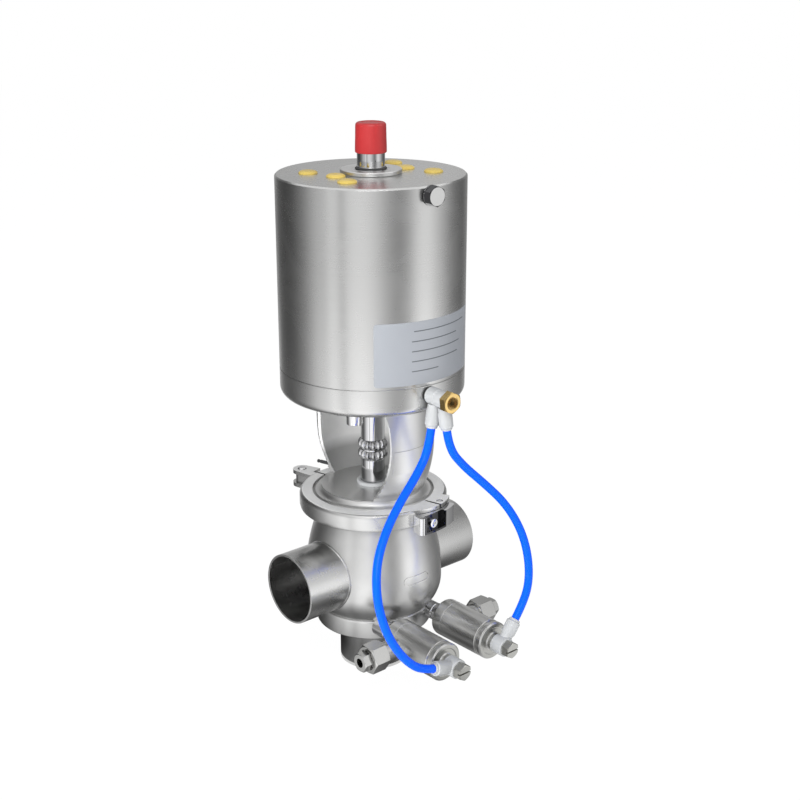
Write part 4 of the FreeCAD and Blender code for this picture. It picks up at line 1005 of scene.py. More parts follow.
def cap_screw(shank_r, shank, head_r, head, socket):
    corner = head_r * 0.12
    head_line = [(shank_r, 0.0), (head_r, 0.0), (head_r, 0.12 * head), (head_r, head - corner)]
    head_line += arc(head_line[-1], (head_r - 0.3 * corner, head - 0.3 * corner),
                     (head_r - corner, head), 3)
    body = spun([(0.0, -shank), (shank_r, -shank)] + head_line + [(0.0, head)], 120)
    screw = new_object(ridged(body, 40, 0.22, 0.1 * head, head - 1.2 * corner), "screw")
    recess = laid(hexagon(socket, head, (False, False)), (0.0, 0.0, 0.45 * head))
    return taken(boolean(screw, recess))


bolt_places = [(*polar(42.0, -154.5 + 90.0 * k), deck_bottom) for k in range(4)]
bolts = piece(joined(*[laid(cap_screw(5.0, 10.0, 8.0, 12.0, 8.0), place, (0.0, 0.0, -1.0))
                       for place in bolt_places]),
              "deck_cap_screws", "lantern_bolts", finish=chrome)
pin_turn = 106.0
pin_line = [(0.0, 0.0), (1.8, 0.0), (1.8, 14.2), (1.35, 14.7), (1.35, 15.6), (1.8, 16.1)]
pin_line += arc((1.8, 17.1), (1.6, 17.8), (1.0, 18.0), 4)
side_pin = piece(laid(spun(pin_line + [(0.0, 18.0)], 32), (*polar(50.3, pin_turn), 201.0),
                      (*polar(1.0, pin_turn), 0.0)), "wall_pin", "lantern_side_pin")
print("screws and pin:", bolts.name, side_pin.name)

# %% [markdown]
# ## The stem and its coupling
#
# Two rods meet in the window, and a split coupling joins them. Its grip rings look like two
# rows of polished beads: the lobes are turned as two barrels and then milled between, so the
# helper pulls a turned shape in between a number of crests with sharp valleys.

# %% Stem and beaded coupling
def lobed(bm, count, depth, inner_r):
    """Leaves round crests on the outside of a turned shape, with a valley between each."""
    for vert in bm.verts:
        reach = math.hypot(vert.co.x, vert.co.y) / MM
        if reach > inner_r:
            crest = abs(math.cos(0.5 * count * math.atan2(vert.co.y, vert.co.x)))
            vert.co.xy *= 1.0 - depth * (1.0 - crest) / reach
    return bm


lobes = 14
lobe_depth = 2.3
crest_r = 15.2
waist_r = 12.6
coupling_bore = 9.05


def bead_row(low, high):
    """One row of beads between two heights."""
    line = [(coupling_bore, low), (waist_r, low)]
    line += arc((waist_r, low), (crest_r, (low + high) / 2.0), (waist_r, high), 12)
    turned = spun(line + [(coupling_bore, high)], 16 * lobes, ring=True)
    return lobed(turned, lobes, lobe_depth, waist_r - 0.5)


stem = piece(spun([(0.0, 57.8), (8.0, 57.8), (8.0, 86.0), (rod_r, 86.0), (rod_r, 218.8),
                   (11.0, 219.8), (9.0, 219.8), (9.0, rods_meet), (0.0, rods_meet)], 96),
             "stem_ground", "valve_stem", finish=rod_chrome, edge=0.2)
beads = joined(bead_row(219.9, 229.5), bead_row(230.4, 240.0),
               spun(section(coupling_bore, 12.9, 229.3, 230.6), 96, ring=True))
coupling = piece(beads, "beaded_coupling", "stem_coupling", finish=rod_chrome)
guide = piece(spun([(11.85, 170.5), (15.1, 170.5), (15.1, floor_z), (16.2, floor_z),
                    (16.2, floor_z + 2.3), (15.2, floor_z + 3.3), (12.6, floor_z + 3.3),
                    (11.85, floor_z + 2.6)], 96, ring=True), "stem_guide_bush", "stem_bush",
              edge=0.25)
print("stem:", stem.name, coupling.name, guide.name)

# %% [markdown]
# ## The clamp
#
# Two halves hold the flanges together. Each is a turned ring cut in two, with lugs welded on:
# a pair of thin plates and a knuckle on one bolt at the back, and at the front a round ledge
# above the latch block. The section is spun through half a turn and the lugs are joined on.

# %% Clamp sizes and outlines
clamp_bottom = 169.3
clamp_top = 187.0
clamp_r = 74.0
ring_middle = 71.0
clear_r = 75.2
hinge_turn = 104.5
hinge_r = 90.5
closure_turn = hinge_turn - 180.0
half_gap = 0.93
ledge_turn = -70.0
ledge_round = 45.5
ledge_centre = clamp_r + 6.5 - ledge_round
ledge_plate = 3.8
lip_bottom = 161.4
latch_low = 165.5
latch_high = 182.9
lug_plate = 3.9
clamp_line = [(57.6, clamp_bottom), (72.0, clamp_bottom), (73.3, 170.6), (clamp_r, 173.3),
              (clamp_r, 182.6)]
clamp_line += arc((clamp_r, 182.6), (72.9, 185.7), (69.8, clamp_top), 8)
clamp_line += [(61.1, clamp_top), (61.1, 184.8), (66.1, 183.0), (66.1, 172.0), (59.7, 169.7),
               (57.6, 169.7)]


def ledge_reach(turn):
    """How far the ledge's round rim stands from the valve's axis at a bearing."""
    off = math.radians(turn - ledge_turn)
    return (ledge_centre * math.cos(off)
            + math.sqrt(ledge_round ** 2 - (ledge_centre * math.sin(off)) ** 2))


def ledge(bottom, first, last, steps=14):
    """A thin ledge between two bearings."""
    turns = [first + (last - first) * k / steps for k in range(steps + 1)]
    outline = [polar(ring_middle, turn) for turn in turns]
    outline += [polar(ledge_reach(turn), turn) for turn in reversed(turns)]
    return plate(outline, bottom, ledge_plate)


def hinge_lug(eye, root, side, bottom, height, steps=16):
    """A lug that grows from one half and keeps clear of the other; side is 1 or -1."""
    out = polar(1.0, hinge_turn)
    across = Vector((-out.y, out.x)) * side
    outline = [out * ring_middle + across * root, out * ring_middle + across * 1.3,
               out * clear_r + across * 1.3, out * clear_r - across * root]
    for k in range(steps + 1):
        turn = math.pi * k / steps
        outline.append(out * (hinge_r + eye * math.sin(turn)) - across * eye * math.cos(turn))
    return plate(outline, bottom, height)


print("clamp outlines:", len(clamp_line), "corners")

# %% [markdown]
# The halves are cut through by the hinge bolt and the latch pin, so the holes come last. The
# right half also carries the lower ledge and the upright wall between the two ledges, which
# keep the latch block in place.

# %% Make the two halves
hinge_place = polar(hinge_r, hinge_turn)
latch_place = polar(75.0, -69.7)
half_sweep = 180.0 - 2.0 * half_gap
hinge_hole = (*hinge_place, clamp_bottom - 1.0)
latch_hole = (*latch_place, latch_low - 5.0)

left_half = new_object(spun(clamp_line, 90, ring=True, first=hinge_turn + half_gap,
                            sweep=half_sweep), "clamp_left")
for bottom in (clamp_bottom, clamp_top - lug_plate):
    boolean(left_half, hinge_lug(9.5, 11.0, 1.0, bottom, lug_plate), "UNION")
boolean(left_half, ledge(clamp_top - ledge_plate, -102.0, closure_turn - half_gap), "UNION")
boolean(left_half, bar(3.25, 20.0, hinge_hole))
left_clamp = piece(left_half, "clamp_left", "clamp_half_left", finish=satin, edge=0.5,
                   segments=3)

right_half = new_object(spun(clamp_line, 90, ring=True, first=closure_turn + half_gap,
                             sweep=half_sweep), "clamp_right")
boolean(right_half, hinge_lug(6.5, 6.5, -1.0, clamp_bottom + 4.05, 9.6), "UNION")
ledge_first = closure_turn + half_gap
ledge_last = -57.0
boolean(right_half, ledge(clamp_top - ledge_plate, ledge_first, ledge_last), "UNION")
upright = spun(section(ring_middle, clamp_r - 0.1, lip_bottom, 175.0), 16, ring=True,
               first=ledge_first, sweep=ledge_last - ledge_first)
boolean(right_half, upright, "UNION")
boolean(right_half, ledge(lip_bottom, ledge_first, ledge_last), "UNION")
boolean(right_half, bar(7.4, 18.0, (*latch_place, latch_low - 0.3)))
boolean(right_half, bar(3.3, 40.0, latch_hole))
boolean(right_half, bar(3.25, 20.0, hinge_hole))
right_clamp = piece(right_half, "clamp_right", "clamp_half_right", finish=satin, edge=0.5,
                    segments=3)
# The top faces take the paler copy of the steel: painted light on the tops.
for half in (left_clamp, right_clamp):
    refinish(half, painted_light_tops,
             lambda face: face.normal.z > 0.9 and face.center.z / MM > clamp_top - 4.5)
print("clamp halves:", len(left_clamp.data.polygons), len(right_clamp.data.polygons))

# %% [markdown]
# The latch is a polished block that swings on its pin and pulls the halves together with one
# screw. A pocket is milled in its face for the screw's head, and the pocket's floor and walls
# take a near-black colour as painted shade and a painted dark reflection. The block's upright
# corners are rounded with the bevel operator first, and the pocket is cut after that. The round
# tongue at the pin is a hair lower than the block, because faces in one plane can confuse a
# boolean.

# %% Cut the latch block
latch_r = 87.6
latch = spun(section(74.3, latch_r, latch_low, latch_high), 14, ring=True, first=-98.5,
             sweep=35.5)
bmesh.ops.recalc_face_normals(latch, faces=latch.faces)
corners = [edge for edge in latch.edges
           if abs(edge.verts[0].co.z - edge.verts[1].co.z) > 10.0 * MM
           and edge.verts[0].co.xy.length > (latch_r - 0.6) * MM
           and len({round(face.normal.z) for face in edge.link_faces}) == 1
           and edge.calc_face_angle(0.0) > 1.0]
bmesh.ops.bevel(latch, geom=corners, offset=5.0 * MM, segments=7, profile=0.5,
                affect="EDGES", clamp_overlap=True, material=-1)
latch_block = new_object(latch, "latch_block")
tongue_low = latch_low + 0.05
tongue = bar(6.8, latch_high - 0.05 - tongue_low, (*latch_place, tongue_low))
boolean(latch_block, tongue, "UNION")
boolean(latch_block, bar(3.05, 40.0, latch_hole))
screw_turn = -87.0
screw_mid = (latch_low + latch_high) / 2.0
screw_way = (*polar(1.0, screw_turn), 0.0)
pocket_start, pocket_end = -94.0, -76.5
pocket_floor_r = 82.6
pocket_turns = [pocket_start + (pocket_end - pocket_start) * k / 7 for k in range(8)]
pocket = plate([polar(pocket_floor_r, turn) for turn in pocket_turns]
               + [polar(92.0, turn) for turn in reversed(pocket_turns)], 167.6, 30.0)


def in_pocket(face):
    """Whether a face is part of the pocket's floor or walls."""
    turn = math.degrees(math.atan2(face.center.y, face.center.x))
    return (face.center.xy.length / MM > pocket_floor_r - 2.6 and abs(face.normal.z) < 0.9
            and pocket_start - 0.5 < turn < pocket_end + 0.5)


boolean(latch_block, pocket)
boolean(latch_block, bar(3.05, 20.0, (*polar(72.0, screw_turn), screw_mid), screw_way))
latch_piece = piece(latch_block, "latch_block", "clamp_latch", finish=chrome, edge=0.6,
                    segments=3)
# The pocket's near-black colour is painted shade and a painted dark reflection.
refinish(latch_piece, painted_dark_steel, in_pocket)
print("latch:", len(latch_piece.data.polygons), "faces")

# %% [markdown]
# The latch's screw is the same kind of cap screw as under the deck, only smaller. A bolt with
# a domed head holds the hinge, and a plain pin holds the latch.

# %% Screw and pins
screw = piece(laid(cap_screw(3.0, 15.0, 4.6, 3.6, 3.6), (*polar(82.7, screw_turn), screw_mid),
                   screw_way), "latch_screw", "clamp_screw", finish=chrome)
hinge_line = [(0.0, 168.3), (3.2, 168.3), (3.2, clamp_top), (4.8, clamp_top)]
hinge_line += arc((4.8, clamp_top + 0.6), (3.9, clamp_top + 1.35), (2.6, clamp_top + 1.6), 4)
hinge_bolt = piece(laid(spun(hinge_line + [(0.0, clamp_top + 1.6)], 48), (*hinge_place, 0.0)),
                   "hinge_rivet", "clamp_hinge_pin", finish=chrome)
latch_pin = piece(laid(spun([(0.0, 161.5), (3.0, 161.5), (3.0, 186.0), (2.6, 186.4),
                             (0.0, 186.4)], 40), (*latch_place, 0.0)),
                  "latch_pin", "clamp_latch_pin", finish=chrome)
print("clamp's small parts:", screw.name, hinge_bolt.name, latch_pin.name)

# %% [markdown]
# ## The valve body
#
# The body is a barrel of two tangent arcs, machined and blasted. It is spun with its neck and
# its flange in one, and the through run is bored across it.

# %% Spin the barrel
belly_r = 69.3
belly_z = 92.7
upper_arc = 194.0
lower_arc = 36.0
band_r = 58.5
band_bottom = 46.0
band_top = 66.5
neck_z = 163.5
run_z = 108.5
tube_r = 35.0
tube_bore = 33.0
run_reach = 107.9


def barrel_radius(radius, z):
    """Half width of the barrel at a height, for the belly radius of a surface."""
    arc_r = upper_arc if z > belly_z else lower_arc
    inset = belly_r - radius
    return belly_r - arc_r + math.sqrt((arc_r - inset) ** 2 - (z - belly_z) ** 2)


def barrel_line(radius, steps=10):
    """The barrel's line in (radius, height) corners, from the seat band up to the neck."""
    lower = [band_top + (belly_z - band_top) * k / steps for k in range(steps)]
    upper = [belly_z + (neck_z - belly_z) * k / steps for k in range(steps + 1)]
    return [(barrel_radius(radius, z), z) for z in lower + upper]


barrel_corners = barrel_line(belly_r)
barrel_corners += [(57.5, neck_z), (57.5, 169.8), (59.6, 169.8), (66.0, 172.1), (66.0, 175.5),
                   (51.6, 175.5)]
barrel_corners += barrel_line(belly_r - 4.0)[::-1]
barrel = new_object(spun(barrel_corners, 144, ring=True), "barrel_body")
boolean(barrel, bar(tube_r - 1.0, 240.0, (-120.0, 0.0, run_z), (1.0, 0.0, 0.0), 96))
body = piece(barrel, "barrel_body", "valve_body", finish=satin_cast, edge=0.35)
print("barrel:", len(body.data.polygons), "faces")

# %% [markdown]
# The tube ends are welded on with a smooth bead that is ground nearly flush but still catches
# a line of light. The bead follows the curve where the tube meets the barrel. A boolean can't
# give such a rounded seam, so a ring is spun and each of its points is pushed along the run
# until it lies on the barrel. Inside, a fine seam shows where the tube was rolled and welded.

# %% Weld beads and tube ends
def weld_bead(side, width=1.7, height=0.75, ripple=0.05):
    """A rounded bead where a tube of the run meets the barrel.

    It is spun as a plain ring round Z and then pushed along the run onto the barrel.
    """
    leans = [2.0 * math.pi * j / 10 for j in range(10)]
    bm = spun([(tube_r + height * math.sin(lean), width * math.cos(lean)) for lean in leans],
              160, ring=True)
    for vert in bm.verts:
        turn = math.atan2(vert.co.y, vert.co.x)
        proud = vert.co.xy.length / MM - tube_r
        reach = tube_r + proud * (1.0 + ripple * math.sin(60.0 * turn))
        y, z = reach * math.sin(turn), run_z + reach * math.cos(turn)
        out = math.sqrt(barrel_radius(belly_r, z) ** 2 - y * y) + vert.co.z / MM
        vert.co = Vector((side * out, y, z)) * MM
    return bm


seam_start = 59.0
seam_turn = math.radians(-21.0)
seam_place = (-tube_bore * math.sin(seam_turn), tube_bore * math.cos(seam_turn), seam_start)
for side, label in ((-1.0, "left"), (1.0, "right")):
    seam = bar(0.45, run_reach - 60.0, seam_place, steps=16)
    tube_end = joined(spun(section(tube_bore, tube_r, 57.5, run_reach), 128, ring=True), seam)
    piece(laid(tube_end, (0.0, 0.0, run_z), (side, 0.0, 0.0)), "port_tube_" + label,
          "port_pipe_" + label, finish=satin_run, edge=0.3)
    piece(weld_bead(side), "weld_bead_" + label, like="valve_body", finish=satin)
print("run:", len(made), "pieces so far")

# %% [markdown]
# The bottom outlet is the same tube. The band above it holds the seat and the leakage groove,
# which can't be seen but are in its section, so a cut through the model looks right too.

# %% Outlet and seat band
outlet = piece(spun(section(tube_bore, tube_r, 0.0, band_bottom), 128, ring=True),
               "outlet_tube", "outlet_pipe", finish=satin_cast, edge=0.3)
seat_corners = [(tube_bore, band_bottom), (band_r - 1.1, band_bottom),
                (band_r, band_bottom + 1.1), (band_r, 63.6)]
seat_corners += arc((band_r, 63.6), (57.7, 65.7), (55.6, band_top), 6)
seat_corners += [(36.2, band_top), (36.2, 63.0), (43.0, 63.0), (43.0, 57.0), (36.2, 57.0),
                 (36.2, 49.0), (tube_bore, 49.0)]
seat = piece(spun(seat_corners, 144, ring=True), "seat_band", "seat_ring", finish=satin_cast,
             edge=0.4)
print("tubes and seat band:", outlet.name, seat.name)

# %% [markdown]
# ## The cleaning valves
#
# The two small valves are alike: a seat block welded to a polished neck, a turned cylinder
# with a branch, an end cap with a groove before its rim, a hexagon union on the branch, and a
# white elbow held by a slotted hollow screw. Everything is drawn along the valve's own axis
# and then laid along -Y at its side.

# %% Helpers for the cleaning valves
clean_x = 31.8
clean_z = 60.0
clean_r = 18.9
small_low = 108.0
branch_y = -90.0
elbow_y = -154.0
elbow_leg = 26.0
branch_reach = {"left": 67.0, "right": 57.0}
elbow_turn = {"left": 163.0, "right": 51.0}
outward_way = {"left": (-1.0, 0.0, 0.0), "right": (1.0, 0.0, 0.0)}
forward = (0.0, -1.0, 0.0)


def on_axis(side, y=0.0):
    """A place on the axis of one cleaning valve."""
    return (outward_way[side][0] * clean_x, y, clean_z)


def on_valve(bm, side):
    """Carries a shape drawn on +Z to one cleaning valve, which points to the front."""
    return laid(bm, on_axis(side), forward)


def elbow_way(side):
    """The direction in which one elbow's leg points."""
    angle = math.radians(elbow_turn[side])
    return Vector((math.cos(angle), 0.0, math.sin(angle)))


def swivel(name, node, centre, axis, ring_r, ring_length, bore, lean, leg):
    """A moulded ring on a hollow screw, with one leg that grips a tube."""
    half = ring_length / 2.0
    start = Vector(centre) - Vector(axis) * half
    ring_line = [(bore, 0.0), (ring_r - 0.6, 0.0), (ring_r, 0.6), (ring_r, ring_length - 0.6),
                 (ring_r - 0.6, ring_length), (bore, ring_length)]
    ring = new_object(laid(spun(ring_line, 72, ring=True), start, axis), name)
    boolean(ring, laid(spun(leg, 64), centre, lean), "UNION")
    return piece(ring, name, node, edge=0.35)


def leg_line(start, root_r, grip_r, length):
    """Half the section of a leg: a slim root, a shoulder, a grip and the tube's hole."""
    return [(0.0, start), (root_r, start), (root_r, 0.45 * length), (grip_r, 0.52 * length),
            (grip_r, length - 0.7), (grip_r - 0.7, length), (4.1, length),
            (4.1, length - 9.0), (0.0, length - 9.0)]


def ends_with_painted_shade(thing):
    """Gives the faces that look along the valve a rougher finish from facing off and painted
    shade.
    """
    refinish(thing, painted_shade_faces, lambda face: face.normal.y < -0.9)


satin_clean = {side: turned_steel("satin_cleaning_valve_" + side, (0.6, 0.6, 0.59),
                                  (0.28, 0.3), on_axis(side), forward)
               for side in outward_way}
print("cleaning valve helpers ready")

# %% [markdown]
# Neck, block, cylinder and cap are four turned parts in a row. Both valves share their
# sections, and only the branch differs in length. The cylinder's branch is joined on and then
# drilled through.

# %% Necks, blocks, cylinders and caps
neck_line = [(3.0, 45.0), (9.0, 45.0), (9.0, 60.5), (8.4, 61.3), (8.4, 63.0), (9.0, 63.8),
             (9.0, 72.3), (3.0, 72.3)]
necks = [on_valve(spun(neck_line, 64, ring=True), side) for side in outward_way]
neck_piece = piece(joined(*necks), "polished_necks", "clean_necks", finish=chrome, edge=0.25)

block_line = [(3.0, 72.3), (14.9, 72.3)]
block_line += arc((14.9, 72.3), (17.73, 73.47), (clean_r, 76.3), 7)
block_line += [(clean_r, 85.95), (clean_r - 0.35, 86.3), (12.0, 86.3), (12.0, 75.0),
               (3.0, 75.0)]
cylinder_line = [(12.0, 86.32), (clean_r - 0.35, 86.32), (clean_r, 86.67), (clean_r, 134.0),
                 (clean_r - 0.5, 134.5), (15.5, 134.5), (15.5, small_low), (4.05, small_low),
                 (4.05, 101.0), (12.0, 101.0)]
cap_line = [(2.0, 129.5), (15.4, 129.5), (15.4, 134.52), (17.4, 134.52), (17.4, 138.0),
            (clean_r - 0.3, 138.0), (clean_r, 138.3), (clean_r, 141.4), (clean_r - 1.3, 142.7),
            (14.2, 142.7), (13.6, 142.1), (9.6, 142.1), (8.5, 143.2), (8.5, 147.0),
            (5.0, 147.0), (5.0, 134.5), (2.0, 134.5)]
for side, way in outward_way.items():
    metal = satin_clean[side]
    piece(on_valve(spun(block_line, 96, ring=True), side), "seat_block_" + side,
          "clean_seat_block_" + side, finish=metal, edge=0.2)
    cylinder = new_object(on_valve(spun(cylinder_line, 96, ring=True), side),
                          "cylinder_" + side)
    length = branch_reach[side] - clean_x + 9.0
    branch = spun(section(5.0, 10.0, 14.0, length), 72, ring=True)
    boolean(cylinder, laid(branch, on_axis(side, branch_y), way), "UNION")
    boolean(cylinder, bar(4.95, length + 1.0, on_axis(side, branch_y), way))
    piece(cylinder, "cylinder_" + side, "clean_housing_" + side, finish=metal, edge=0.3)
    end_cap = piece(on_valve(spun(cap_line, 96, ring=True), side), "end_cap_" + side,
                    "clean_end_cap_" + side, finish=metal, edge=0.2)
    # The end faces take the darker copy: painted shade.
    ends_with_painted_shade(end_cap)
print("cleaning valves turned:", neck_piece.name)

# %% [markdown]
# The unions are hexagon nuts with a smaller hexagon tail, whose open end takes the cleaning
# line. The elbows swivel on a hollow screw, which has a hexagon head with a slot.

# %% Unions, elbows and slotted screws
tail_bore = 4.5
tail_line = [(tail_bore, 9.2), (9.6, 9.2), (9.6, 17.0), (8.2, 17.0), (8.2, 18.2),
             (tail_bore, 18.2)]
slot_outline = [(-15.0, -0.8), (15.0, -0.8), (15.0, 0.8), (-15.0, 0.8)]
nuts, tails, slotted = [], [], []
for side, way in outward_way.items():
    nut_place = (way[0] * branch_reach[side], branch_y, clean_z)
    nuts.append(laid(hexagon(26.0, 18.0, (True, True), bore=10.1), nut_place, way))
    tail = laid(hexagon(17.0, 9.0, (False, True), bore=tail_bore), (0.0, 0.0, 18.0))
    tails.append(laid(joined(tail, spun(tail_line, 64, ring=True)), nut_place, way))

    swivel("white_elbow_" + side, "clean_elbow_" + side, on_axis(side, elbow_y), forward, 9.4,
           14.0, 5.1, elbow_way(side), leg_line(7.0, 6.0, 6.9, elbow_leg))

    head = boolean(new_object(hexagon(14.5, 8.5), "head"), plate(slot_outline, 5.5, 9.0))
    slotted_head = laid(taken(head), (0.0, 0.0, 161.0))
    slotted.append(on_valve(joined(slotted_head, bar(4.95, 24.4, (0.0, 0.0, 136.5))), side))
nut_piece = piece(joined(*nuts), "union_hexagons", "union_nuts", finish=nickel, edge=0.25)
tail_piece = piece(joined(*tails), "union_tail_ends", "union_tails", finish=nickel, edge=0.2)
slotted_piece = piece(joined(*slotted), "slotted_screws", "banjo_screws", finish=plated,
                      edge=0.2)
# The slotted heads' end faces take the darker copy: painted shade.
ends_with_painted_shade(slotted_piece)
print("unions:", nut_piece.name, tail_piece.name, slotted_piece.name)

# %% [markdown]
# ## The air fitting
#
# A hollow brass screw holds two swivel rings against the base. Its hexagon has a threaded hole
# for the air line, and the thread is real geometry: a zigzag section spun round, with the
# pitch of a quarter-inch pipe thread.

# %% Brass screw and spacer
air_z = 309.0
air_leg = 27.5
spacer_length = 1.8
ring_length = 12.2
first_ring = actuator_r + spacer_length
hex_start = first_ring + 2.0 * ring_length
hex_end = 7.5
thread_pitch = 1.337
thread_line = []
depth = hex_end
while depth > hex_end - 13.0:
    thread_line += [(5.75, depth - 0.25 * thread_pitch), (6.35, depth - 0.5 * thread_pitch),
                    (5.75, depth - 0.75 * thread_pitch)]
    depth -= thread_pitch
mouth_line = [(6.5, hex_end), (6.4, hex_end - 0.1)] + thread_line + [(5.7, depth)]
air_hex = hexagon(18.5, hex_end, bore=6.5)
air_bore = spun(mouth_line + [(3.0, depth), (3.0, -40.0), (6.35, -40.0), (6.35, 0.02),
                              (6.5, 0.02)], 96, ring=True)
air_place = outward(hex_start, air_z)
stud = piece(joined(laid(air_hex, air_place, vent_side), laid(air_bore, air_place, vent_side)),
             "brass_air_screw", "air_stud")
spacer = piece(laid(spun(section(6.5, 7.4, 0.0, spacer_length), 64, ring=True),
                    outward(actuator_r, air_z), vent_side), "dark_spacer", "air_spacer",
               edge=0.2)
print("air screw:", stud.name, spacer.name)

# %% [markdown]
# Each swivel ring has one leg, which leans a little to its side. A release sleeve stands in
# the mouth of every leg, also of the elbows, and is pushed in to let go of the tube.

# %% Swivel rings and release sleeves
sleeve_line = [(4.05, 0.0), (5.6, 0.0), (5.6, 1.3), (5.1, 2.4), (4.6, 2.4), (4.05, 1.9)]
sideways_turn = polar(1.0, actuator_turn)
collet_ends = []
for index, (label, tilt) in enumerate((("left", -8.0), ("right", 8.0))):
    centre = outward(first_ring + (index + 0.5) * ring_length, air_z)
    angle = math.radians(tilt)
    lean = Vector((*(sideways_turn * math.sin(angle)), -math.cos(angle)))
    swivel("swivel_ring_" + label, "air_ring_" + label, centre, vent_side, 8.2, ring_length,
           6.45, lean, leg_line(7.2, 6.0, 6.7, air_leg))
    collet_ends.append((Vector(centre) + lean * air_leg, lean))
for side in outward_way:
    lean = elbow_way(side)
    collet_ends.append((Vector(on_axis(side, elbow_y)) + lean * elbow_leg, lean))
collets = piece(joined(*[laid(spun(sleeve_line, 48, ring=True), place, lean)
                         for place, lean in collet_ends]), "tube_release_sleeves",
                "tube_collets")
print("release sleeves:", collets.name)

# %% [markdown]
# ## Coiled springs
#
# The main spring stands between the piston and the lid, and each cleaning valve has a small
# one. The spin operator can climb as it turns, which makes a helix from one round section.

# %% Coil the springs
def coil(wire, mean_r, bottom, top, turns, per_turn=40):
    """A round wire screwed up its axis: the spin operator climbs a little at every step."""
    steps = turns * per_turn
    rise = (top - bottom - wire) / steps
    pitch_angle = math.atan2(rise * per_turn, 2.0 * math.pi * mean_r)
    stand = (Matrix.Translation(Vector((mean_r, 0.0, bottom + wire / 2.0)) * MM)
             @ Matrix.Rotation(pitch_angle - math.pi / 2.0, 4, "X"))
    bm = bmesh.new()
    bmesh.ops.create_circle(bm, cap_ends=True, segments=12, radius=wire / 2.0 * MM,
                            matrix=stand)
    bmesh.ops.spin(bm, geom=bm.verts[:] + bm.edges[:] + bm.faces[:], cent=origin, axis=up,
                   dvec=(0.0, 0.0, rise * MM), angle=2.0 * math.pi * turns, steps=steps)
    return bm


main_low, main_high, main_travel = 342.0, 495.2, 24.0
main_coil = piece(coil(9.0, 48.0, main_low, main_high, 5), "main_coil", "main_spring")
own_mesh(main_coil)
small_high, small_travel = 122.5, 6.0
for side in outward_way:
    small = on_valve(coil(1.6, 10.0, small_low, small_high, 3), side)
    small_coil = piece(small, "small_coil_" + side, "clean_spring_" + side)
    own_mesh(small_coil)
print("springs:", main_coil.name)

# %% [markdown]
# ## Plates on the actuator and the body
#
# The actuator carries one thin plate with ruled lines and nothing written on it, and the body
# an oval frame that stays empty. Both are cut flat, sliced into narrow strips and then bent
# round the axis, so a round corner stays round.

# %% Helpers for bent plates
def rounded(width, height, corner, steps=6):
    """A rectangle about the origin with round corners, as (x, z) places."""
    places = []
    for index, (sx, sz) in enumerate(((1, 1), (-1, 1), (-1, -1), (1, -1))):
        for k in range(steps + 1):
            turn = math.radians(90.0 * (index + k / steps))
            places.append((sx * (width / 2.0 - corner) + corner * math.cos(turn),
                           sz * (height / 2.0 - corner) + corner * math.sin(turn)))
    return places


def edge_loop(bm, outline):
    """A closed loop of edges through flat (x, z) places."""
    verts = [bm.verts.new((x * MM, 0.0, rise * MM)) for x, rise in outline]
    return [bm.edges.new(pair) for pair in zip(verts, verts[1:] + verts[:1])]


def wrapped(outline, turn, z, height, radius_at, hole=None, slice_width=2.0):
    """Bends a flat outline round the axis; radius_at gives the surface at a height."""
    bm = bmesh.new()
    edges = edge_loop(bm, outline)
    if hole:
        bmesh.ops.bridge_loops(bm, edges=edges + edge_loop(bm, hole))
    else:
        bmesh.ops.edgeloop_fill(bm, edges=edges)
    reach = max(abs(x) for x, rise in outline)
    for k in range(int(2.0 * reach / slice_width)):
        spot = (-reach + slice_width * (k + 0.5)) * MM
        bmesh.ops.bisect_plane(bm, geom=bm.verts[:] + bm.edges[:] + bm.faces[:],
                               plane_co=(spot, 0.0, 0.0), plane_no=(1.0, 0.0, 0.0))
    for vert in extruded(bm):
        vert.co.y = height * MM
    for vert in bm.verts:
        across, rise, proud = vert.co.x / MM, vert.co.z / MM + z, vert.co.y / MM
        radius = radius_at(rise) + proud
        bearing = math.radians(turn) + across / radius_at(z)
        vert.co = Vector((radius * math.cos(bearing), radius * math.sin(bearing), rise)) * MM
    return bm


print("plate helpers ready")

# %% [markdown]
# The plate is grey foil, and its five ruled lines stand where a real one would be printed.
# They are a hair thicker than the plate, so they show on it. The oval frame follows the
# barrel, whose radius changes with the height.

# %% Put the plate, its lines and the oval frame on
plate_finish = moulded("grey_printed_plate", (0.3, 0.315, 0.34), 0.35, 0.001, drift=0.03)
ink_finish = moulded("grey_ruled_ink", (0.1, 0.11, 0.12), 0.5, 0.001, drift=0.05)


def on_shell(z):
    """The shell is a plain cylinder, so its radius is the same at every height."""
    return actuator_r + 0.02


label = piece(wrapped(rounded(124.0, 60.0, 3.0), -90.0, 351.0, 0.16, on_shell), "blank_plate",
              like="actuator_shell", finish=plate_finish)
lines = []
for index, (start, width) in enumerate(((-24.0, 72.0), (-26.0, 58.0), (-26.0, 64.0),
                                        (-26.0, 60.0), (-26.0, 30.0))):
    place = start + width / 2.0
    turn = -90.0 + math.degrees(place / actuator_r)
    lines.append(wrapped(rounded(width, 1.0, 0.4, 2), turn, 372.0 - 9.5 * index, 0.2, on_shell))
ruling = piece(joined(*lines), "ruled_lines", like="actuator_shell", finish=ink_finish)


def on_barrel(z):
    """The frame is let into the barrel a little, so no gap shows under it."""
    return barrel_radius(belly_r, z) - 0.05


oval = piece(wrapped(rounded(32.0, 9.0, 4.4), -91.0, 110.0, 0.55, on_barrel,
                     hole=rounded(30.0, 7.0, 3.4), slice_width=1.5), "empty_oval_frame",
             like="valve_body", finish=satin)
print("plates:", label.name, ruling.name, oval.name)

# %% [markdown]
# ## The studio
#
# Polished metal shows the room more than its own colour, so the room is part of the finish.
# The world is white wherever the camera or a reflection looks, and soft on matt surfaces.

